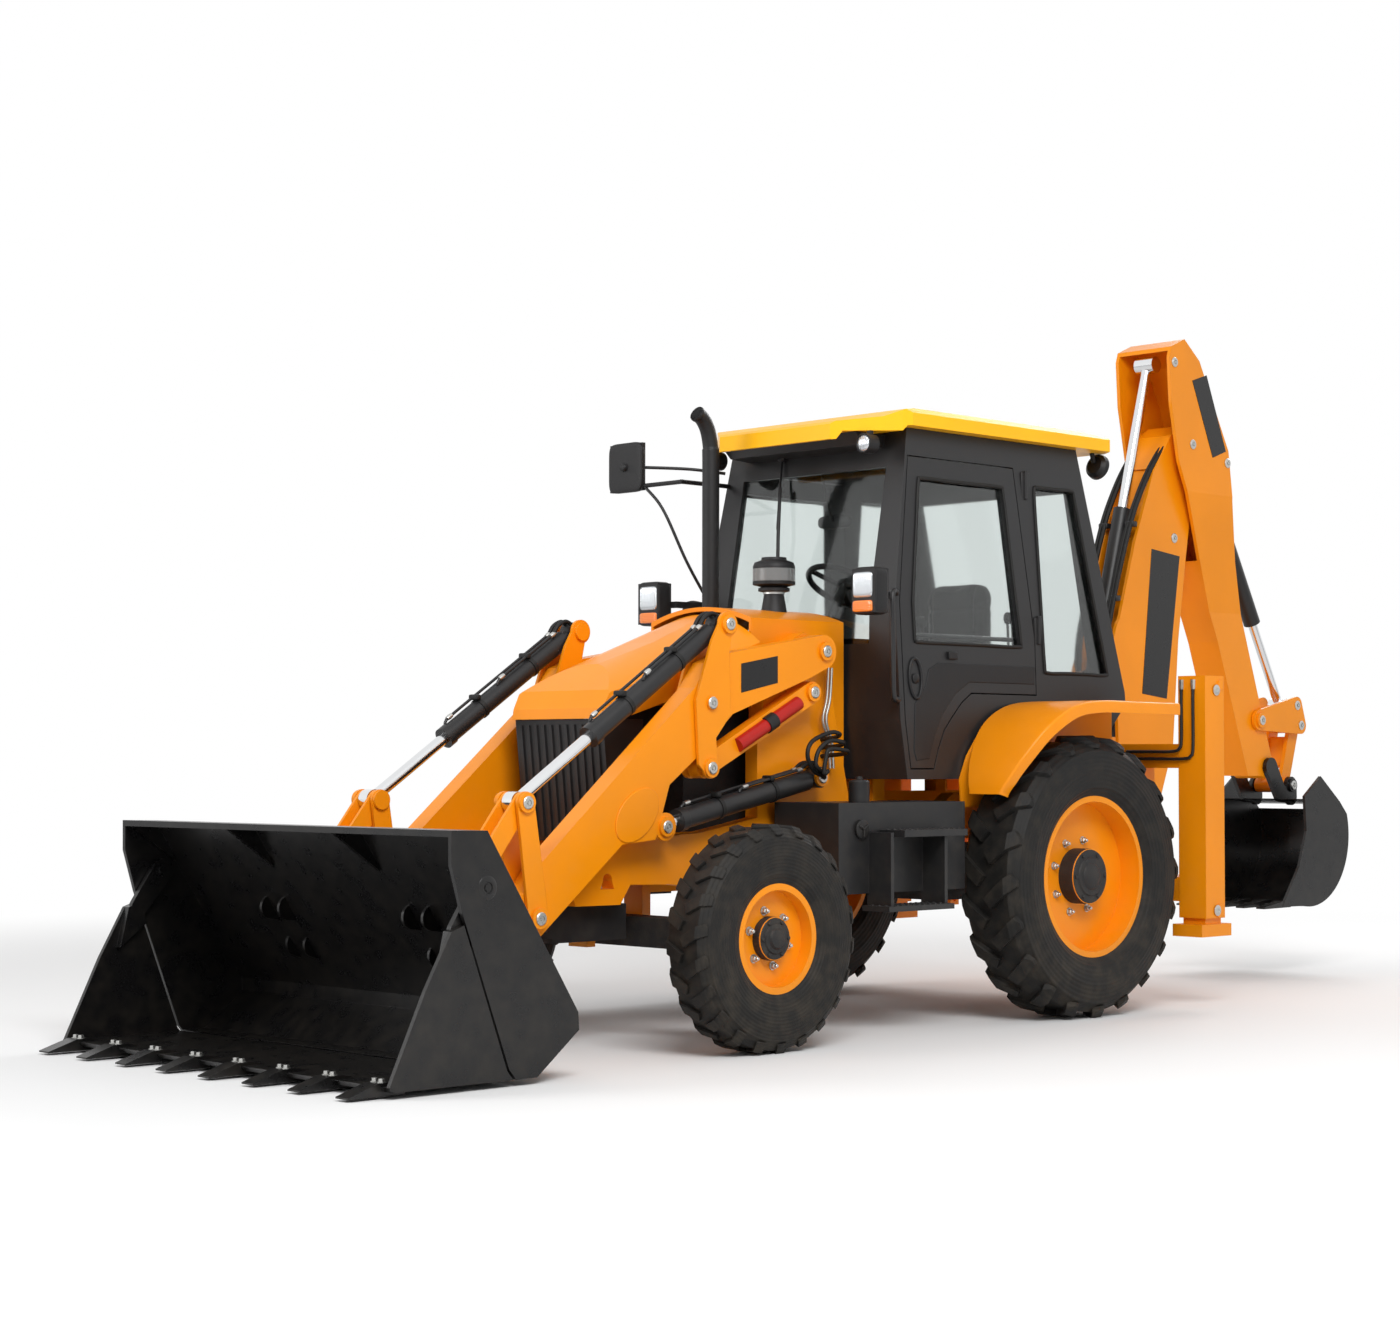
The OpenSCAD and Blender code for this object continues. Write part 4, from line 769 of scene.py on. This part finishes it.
# Safety strut and tower hoses. A red strut is stowed on each levelling link in a black clamp, and
# hoses come out of the tower and drop to the foot of the lift ram.
link_y = 515
foot, head = (1402, 1523), (2083, 1183)
for side, s in both_sides:
    strut = tube([along_ram(foot, head, s * link_y, d, 0) for d in (110, 320, 540)], 32, 28)
    piece(f"safety_strut_{side}", [strut], strut_red, "level_links")
    hold = tube([along_ram(foot, head, s * link_y, d, 0) for d in (285, 315, 345)], 38, 28)
    piece(f"strut_clamp_{side}", [hold], plastic, "level_links")
    fall = []
    for k, (up, y) in enumerate(((1318, 552), (1280, 574), (1242, 596))):
        way = route_through([[1232, s * 405, up - 6], [1240, s * (y - 50), up + 4], [1268, s * y, up + 18],
                             [1330 + 26 * k, s * y, up + 24], [1450 - 22 * k, s * y, up - 18],
                             [1478 - 30 * k, s * y, up - 84], [1430 - 20 * k, s * (y - 4), 1168],
                             [1370, s * 548, 1146], [1345, s * 530, 1140]], 8)
        fall.append(tube(way, 10, 12))
    bright = []
    for d in (0, 22):
        way = route_through([[1196 + d, s * 436, 1640], [1212 + d, s * 440, 1500], [1240 + d, s * 442, 1400],
                             [1200 + d, s * 440, 1300], [1190 + d, s * 440, 1180]], 6)
        bright.append(tube(way, 7, 10))
    piece(f"tower_pipes_{side}", bright, zinc, "chassis")
    piece(f"tower_hoses_{side}", fall, hose_rubber, "chassis")

# Raised panels and blank plates. The arms carry an oval pressing, and dark name plates, left blank,
# are fixed to the arms, the boom and the dipper.


def outline_plate(corners, y, s, thickness):
    """A thin plate on a side face, its corners given as x and z."""
    c = np.asarray(corners, float)
    return slab(np.column_stack([c[:, 0], np.full(len(c), s * y), c[:, 1]]), (0, s * thickness, 0))


turn = np.linspace(0, 2 * np.pi, 48, endpoint=False)
along, across = np.array([0.765, -0.644]), np.array([0.644, 0.765])
oval = np.array([2500, 985]) + 142 * np.cos(turn)[:, None] * along + 92 * np.sin(turn)[:, None] * across
arm_name = [[1650, 1560], [1880, 1512], [1880, 1640], [1650, 1680]]
boom_name = [[-1612, 1580], [-1836, 1556], [-1962, 2345], [-1704, 2372]]
dipper_name = [[-2000, 3318], [-2136, 3362], [-2318, 2950], [-2190, 2905]]
for side, s in both_sides:
    pressing = outline_plate(oval, 531, s, 7)
    ease(piece(f"arm_pressing_{side}", [pressing], yellow, "arms"), 5, 3)
    plate = outline_plate(arm_name, 531.8, s, 2)
    ease(piece(f"arm_plate_{side}", [plate], black, "arms"), 1)
    plate = outline_plate(boom_name, 117.8, s, 2.4)
    ease(piece(f"boom_plate_{side}", [plate], black, "boom"), 1)
    plate = outline_plate(dipper_name, 181.8, s, 2.4)
    ease(piece(f"dipper_plate_{side}", [plate], black, "dipper"), 1)

# Clam hinges and stabiliser pins. A machined cap closes each hinge pin in the bucket's side, and a
# pin at each end holds the stabiliser's inner leg.
for side, s in both_sides:
    spot = (3792, s * 1113, 744)
    hinge = turned([(0, -4), (46, -4), (46, 4), (40, 8), (22, 8), (20, 4), (0, 4)], spot, (0, s, 0), 40)
    nut = turned([(0, 3), (15, 3), (15, 8), (0, 8)], spot, (0, s, 0), 6)
    piece(f"clam_hinge_{side}", [hinge, nut], black, "bucket")
    ends = [turned([(0, -3), (27, -3), (27, 1), (22, 3.5), (9, 3.5), (8, 1), (0, 1)],
                   (-865, s * 1117, z), (0, s, 0), 32) for z in (478, 1566)]
    piece(f"stabiliser_pins_{side}", ends, zinc, "chassis")

# Boom hoses. Rubber hoses climb the front of the boom on both sides of the dipper ram, three pairs
# of clamps hold them, and they turn over the boom's top and end in plated ferrules.
climb = np.array([[-1362, 1240], [-1338, 1420], [-1322, 1640], [-1330, 1830], [-1368, 1985], [-1441, 2212],
                  [-1551, 2500], [-1640, 2668], [-1738, 2812], [-1850, 2935], [-1935, 2990]])
hoses, tips, holds = [], [], []
for y in (76, 100, -76, -100):
    corners = np.column_stack([climb[:, 0] + abs(y) * 0.08, np.full(len(climb), y), climb[:, 1]])
    way = route_through(corners, 8)
    hoses.append(tube(way, 10.5, 14))
    for part in (way[:6], way[-6:]):
        tips.append(tube(part, 14, 14))
for y in (88, -88):
    for x, z in ((-1551, 2500), (-1400, 2090), (-1330, 1640)):
        holds.append(pad((x - 8, y, z), (22, 30, 16), 0.35, 10, 24))
piece("boom_hoses", hoses, hose_rubber, "boom")
piece("boom_ferrules", tips, zinc, "boom")
piece("boom_hose_clamps", holds, grey, "boom")

# Stabiliser pipes. Two hard pipes drop down the front face of each stabiliser box from plated
# fittings at its top, and turn inwards along the rear frame.
for side, s in both_sides:
    pipes, fittings = [], []
    for y, low_z in ((977, 1262), (1046, 1226)):
        drop = route_through([[-766, s * y, 1604], [-764, s * y, 1500], [-764, s * y, low_z + 60],
                              [-764, s * (y - 14), low_z + 14], [-764, s * (y - 60), low_z],
                              [-766, s * 800, low_z], [-768, s * 640, low_z]], 8)
        pipes.append(tube(drop, 8, 12))
        fittings.append(tube([[-766, s * y, z] for z in (1570, 1600, 1618)], [11, 13, 13], 6))
    piece(f"stabiliser_pipes_{side}", pipes, grey, "chassis")
    piece(f"stabiliser_fittings_{side}", fittings, zinc, "chassis")

# Tank fittings and step grips. The fuel tank has a three-armed locking cap on its outer face, a
# filter canister stands on it, and both steps are studded.
cap = turned([(0, 0), (40, 0), (42, 4), (42, 14), (36, 18), (0, 18)], (1454, 849.5, 914), (0, 1, 0), 36)
arms_of_cap = [tube([[1454, 870, 914], [1454 + 17 * math.cos(t), 871, 914 + 17 * math.sin(t)],
                     [1454 + 34 * math.cos(t), 870, 914 + 34 * math.sin(t)]], 5, 10) for t in (0.5, 2.6, 4.7)]
canister = turned([(0, 0), (46, 0), (46, 92), (40, 100), (16, 104), (14, 116), (0, 117)],
                  (1398, 790, 1029.5), (0, 0, 1), 40)
piece("tank_fittings", [cap, canister] + arms_of_cap, plastic, "chassis")
studs = []
for s in (1, -1):
    for x0, x1, z in ((925, 1315, 910), (1017, 1415, 579)):
        for x in np.linspace(x0, x1, 12):
            for y in (885, 925, 965):
                stud = [(0, -1), (9, -1), (8, 3), (4, 5), (0, 5)]
                studs.append(turned(stud, (x, s * y, z), (0, 0, 1), 10))
piece("step_studs", studs, grey, "chassis")

# Bucket tooth bolts. Each tooth is held to the clam's cutting edge by a pair of plough bolts.
bolts = []
tooth_count, tooth_span = 8, 2052
for y in (np.arange(tooth_count) / (tooth_count - 1) - 0.5) * tooth_span:
    for d in (-20, 20):
        spot = (4222, y + d, 57.5)
        bolts += [turned([(0, 0), (17, 0), (17, 3), (0, 3)], spot, (0, 0, 1), 20),
                  turned([(0, 3), (13, 3), (13, 13), (10, 15), (0, 15)], spot, (0, 0, 1), 6)]
piece("tooth_bolts", bolts, zinc, "clam")
